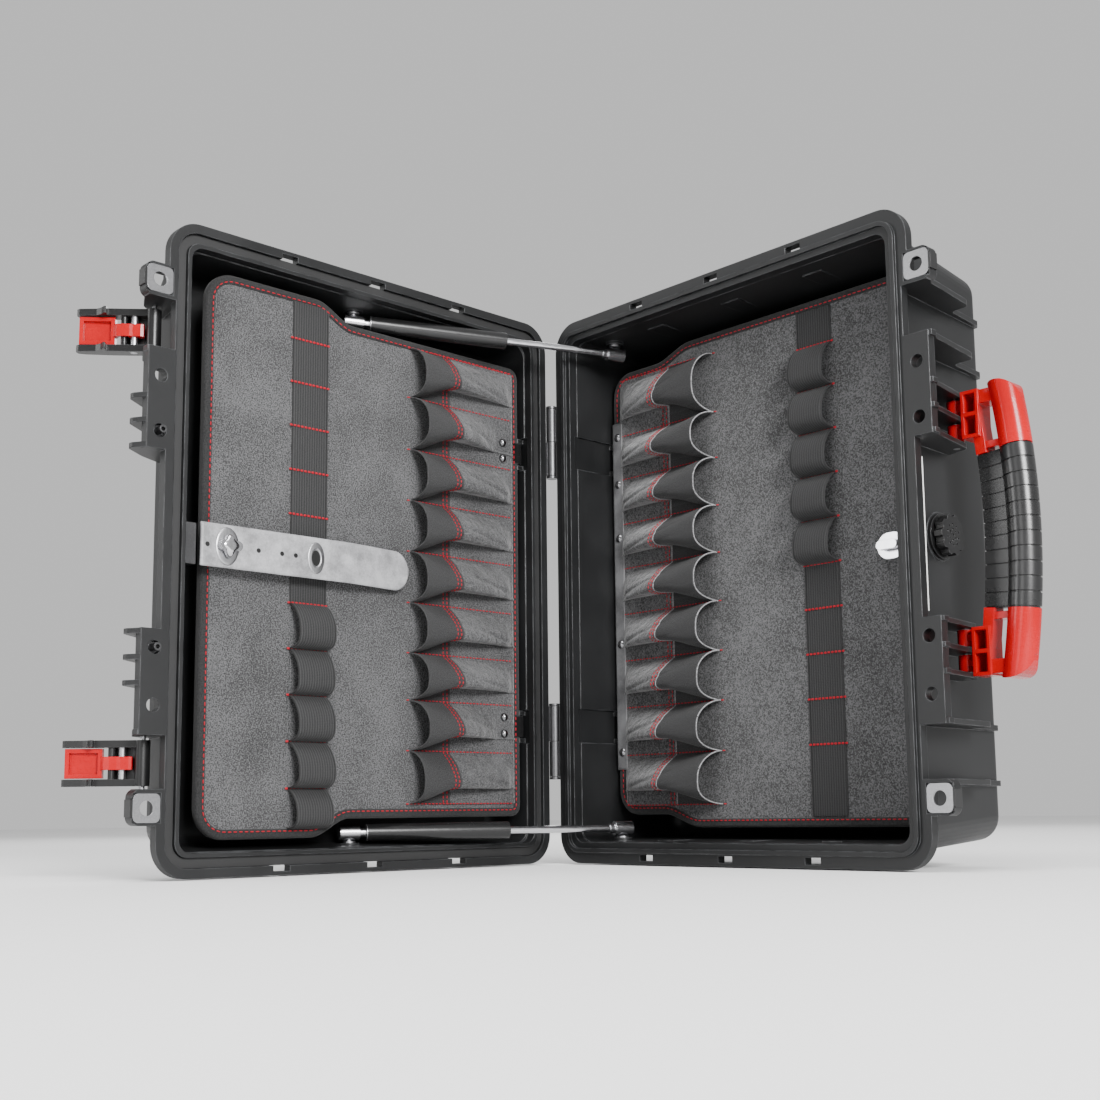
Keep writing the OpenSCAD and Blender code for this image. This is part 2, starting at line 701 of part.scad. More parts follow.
module arch_outline(z0, z1, rise, foot) polygon(concat([[-foot, z0]],
    [for (t = arch_steps) [rise * arch(t), z0 + (z1 - z0) * t]], [[-foot, z1]]));

// Draws a (rise, width) outline along the front direction, standing on a panel's face
module sleeve(s0, s1, face_d) translate([0, face_d - eps, 0]) mirror([0, 1, 0])
    rotate([90, 0, 0]) rotate([0, 90, 0]) translate([0, 0, s0]) linear_extrude(s1 - s0)
        children();

// Everything below a row's swell, a list of [front, height] that rises from heel to mouth
module under(swell, face_d, skin) tier(-z_half, z_half) polygon(concat(
    [[swell[0][0] - 1, face_d + 1]], [[swell[0][0] - 1, face_d - swell[0][1] + skin]],
    [for (p = swell) [p[0], face_d - p[1] + skin]],
    [let (p = swell[len(swell) - 1]) [p[0] + 2, face_d - p[1] + skin]],
    [let (p = swell[len(swell) - 1]) [p[0] + 2, face_d + 1]]));

// A row of cloth pockets, sewn down between seams, closed at the heel and open at the mouth
module pocket_row(seams, swell, face_d) {
    heel = swell[0][0];
    mouth = swell[len(swell) - 1][0];
    rise = swell[len(swell) - 1][1];
    difference() {
        intersection() {
            for (k = [1:len(seams) - 1]) sleeve(heel, mouth, face_d)
                arch_outline(seams[k] + seam_gap, seams[k - 1] - seam_gap, rise, 0);
            under(swell, face_d, 0);
        }
        intersection() {
            for (k = [1:len(seams) - 1]) sleeve(heel + 1.5, mouth + 1, face_d)
                arch_outline(seams[k] + seam_gap + cloth_t, seams[k - 1] - seam_gap - cloth_t,
                    rise - cloth_t, 1);
            under(swell, face_d, cloth_t);
        }
    }
}

module lid_pockets() open_lid() color("#2c2d2f") {
    pocket_row(lid_seams, lid_swell, lid_panel_d);
    translate([38, lid_panel_d - cloth_t, lid_seams[9]])
        cube([lid_swell[0][0] - 38 - seam_gap, cloth_t - eps, lid_seams[0] - lid_seams[9]]);
}

module base_pockets() color("#2c2d2f") pocket_row(base_seams, base_swell, base_panel_d);

// An elastic webbing band, sewn down at its tacks, with loops that stand up where it is slack
module elastic_band(s, w, face_d, tacks, z0, z1) {
    translate([s - w / 2, face_d - cloth_t, z0]) cube([w, cloth_t - eps, z1 - z0]);
    for (k = [1:len(tacks) - 1]) sleeve(s - w / 2, s + w / 2, face_d) difference() {
        arch_outline(tacks[k], tacks[k - 1], loop_rise, 0);
        arch_outline(tacks[k] + cloth_t, tacks[k - 1] - cloth_t, loop_rise - cloth_t, 1);
    }
}

module lid_elastic() open_lid() color("#18191a")
    elastic_band(245, 32, lid_panel_d, lid_tacks, -204, 204);

module base_elastic() color("#18191a")
    elastic_band(254, 33, base_panel_d, base_tacks, -200, 200);

// A rivet's head: the cap of a ball, standing out by the rise
module rivet_head(ball, rise) intersection() {
    translate([0, ball - rise, 0]) sphere(ball);
    translate([-ball, -rise - 1, -ball]) cube([2 * ball, rise + 1, 2 * ball]);
}

module lid_panel_rivets() open_lid() color("#9a9da0")
    for (z = [127, 113, -113, -127])
        translate([48, lid_panel_d - cloth_t, z]) rivet_head(3.6, 3.6);

module base_strip() color("#8b8d90") slab(base_panel_d - 1.5, base_panel_d - eps)
    translate([29.4, -155]) square([11.6, 307]);

module base_strip_rivets() color("#3c3e40") for (z = [-143, -48, 47, 96, 139])
    translate([35, base_panel_d - 1.5 - eps, z]) rivet_head(4.6, 2.2);

// Panel hinges: a clip on the panel turns on a pin that the shell carries
module panel_clips(pivot, plate_d) both_ends() difference() {
    union() {
        post(pivot[0], pivot[1], clip_z - 9, clip_z + 9, 2.1);
        tier(clip_z - 9, clip_z + 9) union() {
            translate([pivot[0] - 1.6, plate_d]) square([10, clip_t]);
            translate([pivot[0] - 1.6, min(plate_d, pivot[1])])
                square([1.6, abs(plate_d - pivot[1]) + clip_t]);
        }
    }
    post(pivot[0], pivot[1], clip_z - 10, clip_z + 10, panel_pin_r + run);
}

module panel_pins(pivot) both_ends()
    post(pivot[0], pivot[1], clip_z - 14, clip_z + 14, panel_pin_r);

module lid_panel_clips() open_lid() color("#1d1e20")
    panel_clips(lid_pivot, lid_panel_d - clip_t - eps);

module lid_panel_pins() open_lid() color("#6b6e71") panel_pins(lid_pivot);

module base_panel_clips() color("#1d1e20")
    panel_clips(base_pivot, base_panel_d + panel_t + eps);

module base_panel_pins() color("#6b6e71") panel_pins(base_pivot);

// ---------------------------------------------------------------- strap and turn-locks

module closing_strap() open_lid() color("#6e7072") difference() {
    union() {
        slab(strap_d, strap_d + strap_t) rounded(strap_end, 344, -strap_w / 2, strap_w / 2, 10);
        for (s = [276, 330]) translate([s - 4, strap_d + 1, -9])
            cube([8, lid_panel_d - strap_d - 1, 18]);
    }
    peg(247, 0, strap_d - 1, strap_d + 4, 6);
    for (s = strap_holes) peg(s, 0, strap_d - 1, strap_d + 4, 1.8);
}

module strap_bracket() open_lid() color("#4a4c4f")
    tier(-15, 15) polygon([[346, 3], [inner_s(3, lid_h), 3], [inner_s(15, lid_h), 15], [346, 15]]);

module turnlock_ring(s, d) difference() {
    slab(d - 1.4, d - eps) rounded(s - 12, s + 12, -10, 10, 9.9);
    peg(s, 0, d - 3, d + 1, 3);
}

module turnlock_knob(s, d) {
    peg(s, 0, d - 5, d - 0.3, 3 - run);
    slab(d - 8, d - 4) rounded(s - 9, s + 9, -3.5, 3.5, 3.4);
}

module lid_turnlock_ring() open_lid() color("#cfd1d3") turnlock_ring(lock_s, strap_d);

module lid_turnlock() open_lid() color("#cfd1d3") turnlock_knob(lock_s, strap_d);

module base_turnlock_ring() color("#cfd1d3") turnlock_ring(base_lock_s, base_panel_d);

module base_turnlock() color("#cfd1d3") turnlock_knob(base_lock_s, base_panel_d);

// ---------------------------------------------------------------- assembly

stand() base_shell();
stand() lid_shell();
stand() lid_gasket();
stand() base_hinge(1);  // base_hinge_upper
stand() base_hinge(-1);  // base_hinge_lower
stand() lid_hinge(1);  // lid_hinge_upper
stand() lid_hinge(-1);  // lid_hinge_lower
stand() hinge_pin(1);  // hinge_pin_upper
stand() hinge_pin(-1);  // hinge_pin_lower
stand() eyelet(1);  // base_eyelet_upper
stand() eyelet(-1);  // base_eyelet_lower
stand() open_lid() eyelet(1);  // lid_eyelet_upper
stand() open_lid() eyelet(-1);  // lid_eyelet_lower
stand() latch_arm(1);  // latch_arm_upper
stand() latch_arm(-1);  // latch_arm_lower
stand() latch_trigger(1);  // latch_trigger_upper
stand() latch_trigger(-1);  // latch_trigger_lower
stand() latch_pin(1);  // latch_pin_upper
stand() latch_pin(-1);  // latch_pin_lower
stand() trigger_pin(1);  // trigger_pin_upper
stand() trigger_pin(-1);  // trigger_pin_lower
stand() handle_end(1);  // handle_end_upper
stand() handle_end(-1);  // handle_end_lower
stand() handle_grip();
stand() handle_pin(1);  // handle_pin_upper
stand() handle_pin(-1);  // handle_pin_lower
stand() valve_body();
stand() valve_knob();
stand() blank_label();
stand() locating_pins();
stand() strut_cylinder(1);  // strut_cylinder_upper
stand() strut_cylinder(-1);  // strut_cylinder_lower
stand() strut_rod(1);  // strut_rod_upper
stand() strut_rod(-1);  // strut_rod_lower
stand() lid_stud(1);  // lid_stud_upper
stand() lid_stud(-1);  // lid_stud_lower
stand() base_stud(1);  // base_stud_upper
stand() base_stud(-1);  // base_stud_lower
stand() lid_panel();
stand() lid_pockets();
stand() lid_elastic();
stand() lid_panel_rivets();
stand() lid_panel_clips();
stand() lid_panel_pins();
stand() closing_strap();
stand() strap_bracket();
stand() lid_turnlock_ring();
stand() lid_turnlock();
stand() base_panel();
stand() base_pockets();
stand() base_elastic();
stand() base_strip();
stand() base_strip_rivets();
stand() base_panel_clips();
stand() base_panel_pins();
stand() base_turnlock_ring();
stand() base_turnlock();
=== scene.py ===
# %% [markdown]
# # A hard tool case, dressed
# The solids of the case come packed from the CAD source. This file adds what a solid can't show:
# felt, elastic, thread, and the finish of each plastic and metal. Every new surface is worked out
# with numpy as a grid of points, so each shape can be read as a formula.

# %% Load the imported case
import json
import math

import bpy
import numpy as np
from mathutils import Matrix, Vector


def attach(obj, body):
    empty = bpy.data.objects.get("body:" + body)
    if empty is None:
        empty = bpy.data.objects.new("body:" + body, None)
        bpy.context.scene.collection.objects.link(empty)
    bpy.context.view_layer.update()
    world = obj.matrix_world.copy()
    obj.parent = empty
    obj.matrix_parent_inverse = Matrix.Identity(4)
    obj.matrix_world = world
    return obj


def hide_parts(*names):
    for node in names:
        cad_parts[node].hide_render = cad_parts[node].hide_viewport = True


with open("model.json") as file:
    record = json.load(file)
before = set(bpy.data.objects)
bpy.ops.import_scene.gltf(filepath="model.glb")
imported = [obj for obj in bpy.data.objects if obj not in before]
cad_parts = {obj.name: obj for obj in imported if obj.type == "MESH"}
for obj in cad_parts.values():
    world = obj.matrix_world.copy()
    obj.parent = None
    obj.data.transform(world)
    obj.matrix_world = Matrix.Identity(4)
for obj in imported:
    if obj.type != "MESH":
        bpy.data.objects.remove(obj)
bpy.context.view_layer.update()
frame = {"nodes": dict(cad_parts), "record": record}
nodes = frame["nodes"]

# %% [markdown]
# The case stands on its short end with the lid open at a right angle. Each half is easiest to
# describe from the hinge: `s` runs from the hinge axis to the front, `depth` from the rim into the
# half and `z` from mid-width, all in millimetres. Two small functions turn these into the frame.

# %% Places in each half
MIDDLE_S = 186.105
MIDDLE_D = -143.21
HALF_WIDTH = 237.0


def base_point(s, depth, z):
    """Frame point, in metres, of a place in the base half: x from s, y from depth, z from z."""
    s, depth, z = np.broadcast_arrays(s, depth, z)
    return np.stack([s - MIDDLE_S, depth - MIDDLE_D, z + HALF_WIDTH], -1) / 1000


def lid_point(s, depth, z):
    """The same for the open lid, which is turned a right angle: x from depth and y from s."""
    s, depth, z = np.broadcast_arrays(s, depth, z)
    return np.stack([-depth - MIDDLE_S, -s - MIDDLE_D, z + HALF_WIDTH], -1) / 1000


# %% [markdown]
# The camera comes early, because it decides what the rest is judged by. It is low and close, looks
# up a little, and keeps its upright lines upright with a vertical shift, as a product shot does.

# %% Camera
CAMERA_AT = (0.7256, -0.7048, 0.0418)
PAN, TILT, ROLL = (math.radians(v) for v in (-46.123, 7.505, -0.731))

forward = np.array([math.sin(PAN) * math.cos(TILT), math.cos(PAN) * math.cos(TILT), math.sin(TILT)])
right = np.array([math.cos(PAN), -math.sin(PAN), 0.0])
upward = np.cross(right, forward)
across = right * math.cos(ROLL) + upward * math.sin(ROLL)
upright = upward * math.cos(ROLL) - right * math.sin(ROLL)

camera = bpy.data.objects.new("camera", bpy.data.cameras.new("camera"))
bpy.context.scene.collection.objects.link(camera)
turned = np.column_stack([across, upright, -forward])
camera.matrix_world = Matrix.Translation(CAMERA_AT) @ Matrix(turned.tolist()).to_4x4()
camera.data.sensor_width = 36
camera.data.lens = 46.8
camera.data.shift_x = -0.0245
camera.data.shift_y = 0.0682
camera.data.clip_start = 0.01
bpy.context.scene.camera = camera
print("camera", camera.data.lens, "mm")

# %% [markdown]
# Shader maths reads best as plain sums. `Value` wraps one output socket and overloads plus,
# minus and times, so `base + 0.2 * noise` adds its own Math nodes. `Finish` is a material with one
# method for every other node.

# %% Materials as expressions


class Value:
    """One output socket. Each operator adds a Math node to the finish that it belongs to."""

    def __init__(self, finish, socket):
        self.finish, self.socket = finish, socket

    def __add__(self, other):
        return self.finish.maths("ADD", self, other)

    def __sub__(self, other):
        return self.finish.maths("SUBTRACT", self, other)

    def __rsub__(self, other):
        return self.finish.maths("SUBTRACT", other, self)

    def __mul__(self, other):
        return self.finish.maths("MULTIPLY", self, other)

    __radd__ = __add__
    __rmul__ = __mul__


class Finish:
    """A node material. Constant numbers go straight on the shader's own sockets."""

    def __init__(self, name, **constants):
        self.material = bpy.data.materials.new(name)
        self.material.use_nodes = True
        self.tree = self.material.node_tree
        self.shader = self.tree.nodes["Principled BSDF"]
        for key, value in constants.items():
            self.shader.inputs[key.replace("_", " ")].default_value = value

    def feed(self, socket, value):
        if isinstance(value, Value):
            self.tree.links.new(value.socket, socket)
        else:
            socket.default_value = value

    def node(self, kind, settings=None, sockets=None, out=0):
        """Adds a node: settings are set first, then each socket gets its value or link."""
        made = self.tree.nodes.new(kind)
        for key, value in (settings or {}).items():
            setattr(made, key, value)
        for key, value in (sockets or {}).items():
            self.feed(made.inputs[key], value)
        return Value(self, made.outputs[out])

    def maths(self, operation, *values):
        return self.node("ShaderNodeMath", {"operation": operation}, dict(enumerate(values)))

    def place(self):
        """Object coordinates, which for every piece here are the frame's metres."""
        return self.node("ShaderNodeTexCoord", out="Object")

    def uv(self):
        """The piece's own UV map, in metres along the cloth."""
        return self.node("ShaderNodeTexCoord", out="UV")

    def axis(self, place, which):
        return self.node("ShaderNodeSeparateXYZ", None, {0: place}, out=which)

    def noise(self, scale, detail=2.0, rough=0.5, place=None):
        """Noise from 0 to 1, with scale in features a metre."""
        return self.node("ShaderNodeTexNoise", None, {
            "Vector": place or self.place(), "Scale": scale, "Detail": detail, "Roughness": rough})

    def sharpen(self, value, low, high):
        """Stretches low..high to 0..1 and clips the rest."""
        return self.node("ShaderNodeMapRange", {"clamp": True},
                         {"Value": value, "From Min": low, "From Max": high})

    def blend(self, mask, first, second):
        return self.node("ShaderNodeMix", {"data_type": "RGBA"},
                         {0: mask, 6: first, 7: second}, out=2)

    def bump(self, height, distance, strength=1.0, under=None):
        """Relief with a real height in metres."""
        sockets = {"Height": height, "Distance": distance, "Strength": strength}
        if under is not None:
            sockets["Normal"] = under
        return self.node("ShaderNodeBump", None, sockets)

    def soft_edges(self, radius):
        """A small rounding of every hard edge, which catches the light as a moulded edge does."""
        return self.node("ShaderNodeBevel", {"samples": 4}, {"Radius": radius})

    def edge_mask(self, rounded):
        """1 on edges and 0 on flats: how far the rounded normal turns from the true one."""
        true = self.node("ShaderNodeNewGeometry", out="Normal")
        turn = self.node("ShaderNodeVectorMath", {"operation": "DOT_PRODUCT"},
                         {0: rounded, 1: true}, out="Value")
        return self.sharpen(1.0 - turn, 0.01, 0.22)

    def surface(self, **sockets):
        for key, value in sockets.items():
            self.feed(self.shader.inputs[key.replace("_", " ")], value)
        return self


def grey(level):
    return (level, level, level * 1.03, 1.0)


# %% [markdown]
# The housings are moulded polypropylene with a fine spark-eroded texture. Two noises give the
# grain, and a slow one the slight cloudiness of handled plastic. A painted highlight pales the
# edges in patches.

# %% Moulded plastics
SHELL_GREY = (0.0040, 0.0042, 0.0045, 1.0)
SHELL_PALE = (0.0095, 0.0098, 0.0103, 1.0)


def moulded(name, dark, pale, rough, grain_scale, grain_depth, edge=0.0006, edge_highlight_gain=12.0,
            **constants):
    """Textured plastic: grain, cloudy colour between two tones, and a painted highlight that pales
    the edges in patches.
    """
    finish = Finish(name, **constants)
    grain = finish.noise(grain_scale, 3.0, 0.6)
    cloud = finish.noise(14.0, 3.0)
    rounded = finish.soft_edges(edge)
    # Painted highlight: a patchy mask on the edges blends the colour towards a paler tone and makes
    # the edges a little glossier.
    wear_and_edge_highlight = finish.edge_mask(rounded) * finish.sharpen(finish.noise(90.0, 3.0), 0.35, 0.6)
    tone = finish.blend(finish.sharpen(cloud + 0.35 * grain, 0.5, 0.95), dark, pale)
    edge_highlight_tone = tuple(min(0.9, edge_highlight_gain * c) for c in pale[:3]) + (1.0,)
    return finish.surface(
        Base_Color=finish.blend(0.7 * wear_and_edge_highlight, tone, edge_highlight_tone),
        Roughness=rough + 0.16 * (cloud - 0.5) + 0.1 * (grain - 0.5) - 0.12 * wear_and_edge_highlight,
        Normal=finish.bump(grain, grain_depth, 0.6, rounded))


shell_plastic = moulded("shell_plastic", SHELL_GREY, SHELL_PALE, 0.46, 1500.0, 0.00012, 0.0010,
                        Specular_IOR_Level=0.36)
red_plastic = moulded("red_plastic", (0.31, 0.0005, 0.0025, 1), (0.41, 0.001, 0.005, 1), 0.26,
                      420.0, 0.00003, 0.0007, 1.15, Specular_IOR_Level=0.2, Coat_Weight=0.12,
                      Coat_Roughness=0.08)
black_plastic = moulded("black_plastic", grey(0.004), grey(0.010), 0.32, 900.0, 0.00004, 0.0005,
                        Specular_IOR_Level=0.34)
grip_rubber = moulded("grip_rubber", grey(0.007), grey(0.012), 0.28, 700.0, 0.00003, 0.0005, 2.5)
seal_rubber = moulded("seal_rubber", grey(0.006), grey(0.012), 0.62, 800.0, 0.00006, 0.0004)
label_plastic = moulded("label_plastic", (0.72, 0.72, 0.70, 1), (0.80, 0.80, 0.79, 1), 0.42,
                        600.0, 0.00003, 0.0003, 0.9)
print("plastics made")

# %% [markdown]
# Metals: the leaves and brackets are dark coated steel, the eyelets are brushed stainless steel,
# and the rivets, turn-locks and strut rods are plated bright. Brushing is noise stretched along
# one direction, and it roughens as well as scratches.

# %% Metals


def metal(name, dark, pale, rough, stretch=(1.0, 1.0, 1.0), scale=900.0, depth=0.00002):
    """Metal with fine scratches: noise on a stretched copy of the place."""
    finish = Finish(name, Metallic=1.0)
    grain = finish.node("ShaderNodeMapping", None, {"Vector": finish.place(), "Scale": stretch})
    scratch = finish.noise(scale, 3.0, 0.65, grain)
    smudge = finish.noise(60.0, 2.0)
    return finish.surface(
        Base_Color=finish.blend(scratch, dark, pale),
        Roughness=rough + 0.14 * (scratch - 0.5) + 0.12 * (smudge - 0.5),
        Normal=finish.bump(scratch, depth, 0.5, finish.soft_edges(0.0004)))


dark_steel = metal("dark_steel", grey(0.06), grey(0.12), 0.40)
rivet_steel = metal("rivet_steel", grey(0.16), grey(0.30), 0.14, scale=500.0, depth=0.000008)
steel = metal("steel", grey(0.30), grey(0.48), 0.36, (1.0, 1.0, 0.06))
bright_steel = metal("bright_steel", grey(0.50), grey(0.70), 0.17, scale=500.0, depth=0.000008)

# %% [markdown]
# Each padlock eyelet is a steel plate with a tab bent down beside its lug. The plate stays bare and
# the tab has the lug's black coating, so a mask on the place changes from metal to paint at the
# plate's far edge. That edge is a fixed X on the base half and a fixed Y on the open lid.

# %% Eyelet steel
EYELET_END = 390.2

eyelet_steel = Finish("eyelet_steel")
spot = eyelet_steel.place()
past_plate = eyelet_steel.maths(
    "MAXIMUM", eyelet_steel.axis(spot, "X") - float(base_point(EYELET_END, 0.0, 0.0)[0]),
    float(lid_point(EYELET_END, 0.0, 0.0)[1]) - eyelet_steel.axis(spot, "Y"))
coated = eyelet_steel.sharpen(past_plate, -0.0001, 0.0001)
fleck = eyelet_steel.noise(900.0, 3.0, 0.65)
eyelet_steel.surface(
    Base_Color=eyelet_steel.blend(
        coated, eyelet_steel.blend(fleck, grey(0.20), grey(0.42)), grey(0.007)),
    Metallic=1.0 - coated,
    Roughness=0.30 + 0.12 * fleck,
    Normal=eyelet_steel.bump(fleck, 0.00002, 0.5, eyelet_steel.soft_edges(0.0004)))

# %% [markdown]
# Each gas strut is one solid in the source, a black cylinder with a plated ball socket at its end.
# A mask along the strut paints the socket: the distance from the ball, measured along the strut.

# %% Strut paint
LID_BALL = lid_point(192.0, 32.0, 0.0)
BASE_BALL = base_point(52.6, 29.0, 0.0)
STRUT_WAY = (BASE_BALL - LID_BALL) / np.linalg.norm(BASE_BALL - LID_BALL)
SOCKET_LENGTH = 0.0135

strut_paint = Finish("strut_paint")
spot = strut_paint.place()
from_ball = (strut_paint.axis(spot, "X") - float(LID_BALL[0])) * float(STRUT_WAY[0]) \
    + (strut_paint.axis(spot, "Y") - float(LID_BALL[1])) * float(STRUT_WAY[1])
painted = strut_paint.sharpen(from_ball, SOCKET_LENGTH - 0.0001, SOCKET_LENGTH + 0.0001)
dust = strut_paint.noise(300.0, 2.0)
strut_paint.surface(
    Base_Color=strut_paint.blend(painted, grey(0.55), grey(0.008)),
    Metallic=1.0 - painted,
    Roughness=0.2 + 0.1 * dust,
    Normal=strut_paint.bump(dust, 0.00001, 0.5, strut_paint.soft_edges(0.0006)))

# %% [markdown]
# Cloth: the boards are covered with a speckled felt, the pockets have a felt heel and a dark
# elastic mouth, and the bands are ribbed webbing. Felt is two scales of speckle with a little
# sheen. Webbing has ribs along its length, so it reads the piece's own UV map, which is in metres.

# %% Cloths


def felt(name, dark, pale, depth=0.0003, wrinkle=0.0006, sheen=0.25):
    """Needle felt: fine speckle over a slow drift of tone."""
    finish = Finish(name, Sheen_Weight=sheen, Sheen_Roughness=0.5)
    speckle = finish.noise(950.0, 2.0, 0.7)
    drift = finish.noise(24.0, 2.0)
    mask = finish.sharpen(speckle + 0.2 * (drift - 0.5), 0.40, 0.62)
    creased = finish.bump(finish.noise(70.0, 3.0, 0.6), wrinkle, 0.8)
    return finish.surface(Base_Color=finish.blend(mask, dark, pale), Roughness=0.86 + 0.1 * drift,
                          Normal=finish.bump(speckle, depth, 0.8, creased))


def webbing(name, dark, pale, rib, weft, ribbed, depth=0.00025):
    """Woven elastic: ribs across u crossed by a finer weft along v, a little uneven.

    ribbed is the share of the tone that follows the ribs; the rest is fleck.
    """
    finish = Finish(name, Sheen_Weight=0.06, Sheen_Roughness=0.4)
    uv = finish.uv()
    wander = finish.noise(260.0, 2.0, 0.5, uv)
    ribs = finish.maths("SINE", finish.axis(uv, "X") * (2 * math.pi / rib) + 1.6 * wander)
    rows = finish.maths("SINE", finish.axis(uv, "Y") * (2 * math.pi / weft) + 2.0 * ribs)
    weave = 0.5 + 0.27 * ribs + 0.2 * rows
    fleck = finish.noise(1000.0, 2.0, 0.7, uv)
    mask = finish.sharpen(ribbed * weave + (1 - ribbed) * fleck, 0.40, 0.62)
    return finish.surface(Base_Color=finish.blend(mask, dark, pale), Roughness=0.74 + 0.2 * weave,
                          Normal=finish.bump(weave + 0.4 * fleck, depth, 0.9))


board_felt = felt("board_felt", grey(0.008), grey(0.092))
heel_felt = felt("heel_felt", grey(0.008), grey(0.088), wrinkle=0.0042)
binding_tape = felt("binding_tape", grey(0.002), grey(0.016), sheen=0.08)
pocket_elastic = webbing("pocket_elastic", grey(0.003), grey(0.034), 0.0011, 0.0008, 0.25)
band_webbing = webbing("band_webbing", grey(0.002), grey(0.028), 0.0022, 0.0012, 0.7)
piping_cloth = felt("piping_cloth", grey(0.11), grey(0.26), 0.0001)

thread_red = Finish("thread_red", Specular_IOR_Level=0.3)
twist = thread_red.noise(2600.0, 1.0)
thread_red.surface(
    Base_Color=thread_red.blend(twist, (0.20, 0.001, 0.006, 1), (0.44, 0.003, 0.018, 1)),
    Roughness=0.5 + 0.2 * twist, Normal=thread_red.bump(twist, 0.0001, 0.6))


def vinyl(name, dark, pale, painted_holes=()):
    """Smooth coated cloth: fine leather grain and slow patches of wear.

    Each hole is (y, z, half size along y, half size along z): inside that oval the cloth is painted
    near black, painted shade in place of an opening.
    """
    finish = Finish(name)
    leather, wear_and_edge_highlight = finish.noise(700.0, 3.0, 0.6), finish.noise(38.0, 4.0, 0.65)
    tone = finish.blend(finish.sharpen(wear_and_edge_highlight + 0.3 * leather, 0.5, 0.78), dark, pale)
    spot = finish.place()
    # Painted shade: each oval is painted near black where the strap has no opening cut.
    for y, z, half_y, half_z in painted_holes:
        along = (finish.axis(spot, "Y") - float(y)) * (1 / half_y)
        up = (finish.axis(spot, "Z") - float(z)) * (1 / half_z)
        tone = finish.blend(finish.sharpen(along * along + up * up, 0.92, 1.06), grey(0.002), tone)
    return finish.surface(
        Base_Color=tone,
        Roughness=0.36 + 0.2 * wear_and_edge_highlight, Normal=finish.bump(leather, 0.00008, 0.5))


GROMMET_S, TURNLOCK_S = 247, 323
HOLE_S = (265, 277, 297, 339)
HOLE_HALF, GROMMET_HALF = (0.0018, 0.0018), (0.0038, 0.0062)
STRAP_HOLES = [(*lid_point(s, 0.0, 0.0)[1:], *HOLE_HALF) for s in HOLE_S]
STRAP_HOLES.append((*lid_point(GROMMET_S, 0.0, 0.0)[1:], *GROMMET_HALF))
strap_vinyl = vinyl("strap_vinyl", grey(0.17), grey(0.34), STRAP_HOLES)
strip_vinyl = vinyl("strip_vinyl", grey(0.06), grey(0.13))
print("cloths made")

# %% Finishes for the solids that stay
SLOT_FINISH = {
    "shell": shell_plastic, "seal": seal_rubber, "red_plastic": red_plastic,
    "black_plastic": black_plastic, "grip_rubber": grip_rubber, "dark_steel": dark_steel,
    "steel": steel, "chrome_steel": bright_steel, "strut_black": strut_paint,
    "felt": board_felt, "pocket_fabric": heel_felt, "elastic": band_webbing,
    "strap_vinyl": strap_vinyl, "label": label_plastic}

for part in frame["record"]["subparts"]:
    mesh = nodes[part["node"]].data
    mesh.materials.clear()
    chosen = SLOT_FINISH[part["material_slot"]]
    if "rivets" in part["node"]:
        chosen = rivet_steel
    if "eyelet" in part["node"]:
        chosen = eyelet_steel
    mesh.materials.append(chosen.material)
print(len(nodes), "solids have a finish")

# %% [markdown]
# Every cloth is a grid of points with a thickness. The grid gives the outer face; the inner face
# is the same grid moved in along the normals, and four strips close the edges.

# %% Cloth from a grid


def grid_normals(points):
    """Unit normals of a grid: the cross product of its two directions of travel."""
    along = np.gradient(points, axis=0)
    over = np.gradient(points, axis=1)
    normal = np.cross(along, over)
    return normal / np.maximum(np.linalg.norm(normal, axis=-1, keepdims=True), 1e-12)


def grid_faces(rows, cols, first=0, flip=False):
    """Quads of a rows by cols grid whose points are numbered row by row from first."""
    index = first + np.arange(rows * cols).reshape(rows, cols)
    quads = np.stack([index[:-1, :-1], index[1:, :-1], index[1:, 1:], index[:-1, 1:]], -1)
    quads = quads.reshape(-1, 4)
    return quads[:, ::-1] if flip else quads


def solid_sheet(points, thickness, flip=False):
    """Vertices and faces of a closed sheet: outer grid, inner grid, and the strips between."""
    rows, cols = points.shape[:2]
    normal = grid_normals(points) * (-1 if flip else 1)
    inner = points - normal * thickness
    count = rows * cols
    index = np.arange(count).reshape(rows, cols)
    ring = np.concatenate([index[0, :], index[1:, -1], index[-1, -2::-1], index[-2:0:-1, 0]])
    after = np.roll(ring, -1)
    strip = np.stack([ring, after, after + count, ring + count], -1)
    faces = np.concatenate([grid_faces(rows, cols, 0, flip),
                            grid_faces(rows, cols, count, not flip),
                            strip[:, ::-1] if flip else strip])
    return np.concatenate([points.reshape(-1, 3), inner.reshape(-1, 3)]), faces


def outward(verts, faces):
    """The faces of a closed part, reversed if they point inwards.

    Its volume is the sum of a . (b x c) over the two triangles of every quad, and is negative
    for a part that is inside out.
    """
    a, b, c, d = (verts[faces[:, k]] for k in range(4))
    volume = (a * (np.cross(b, c) + np.cross(c, d))).sum()
    return faces if volume > 0 else faces[:, ::-1]


def add_object(name, verts, faces, finish, body):
    """A smooth-shaded object with its place in its mesh, riding one body."""
    mesh = bpy.data.meshes.new(name)
    mesh.from_pydata(verts.tolist(), [], faces)
    mesh.polygons.foreach_set("use_smooth", np.ones(len(faces), bool))
    mesh.materials.append(finish.material)
    mesh.update()
    piece = bpy.data.objects.new(name, mesh)
    bpy.context.scene.collection.objects.link(piece)
    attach(piece, body)
    return piece


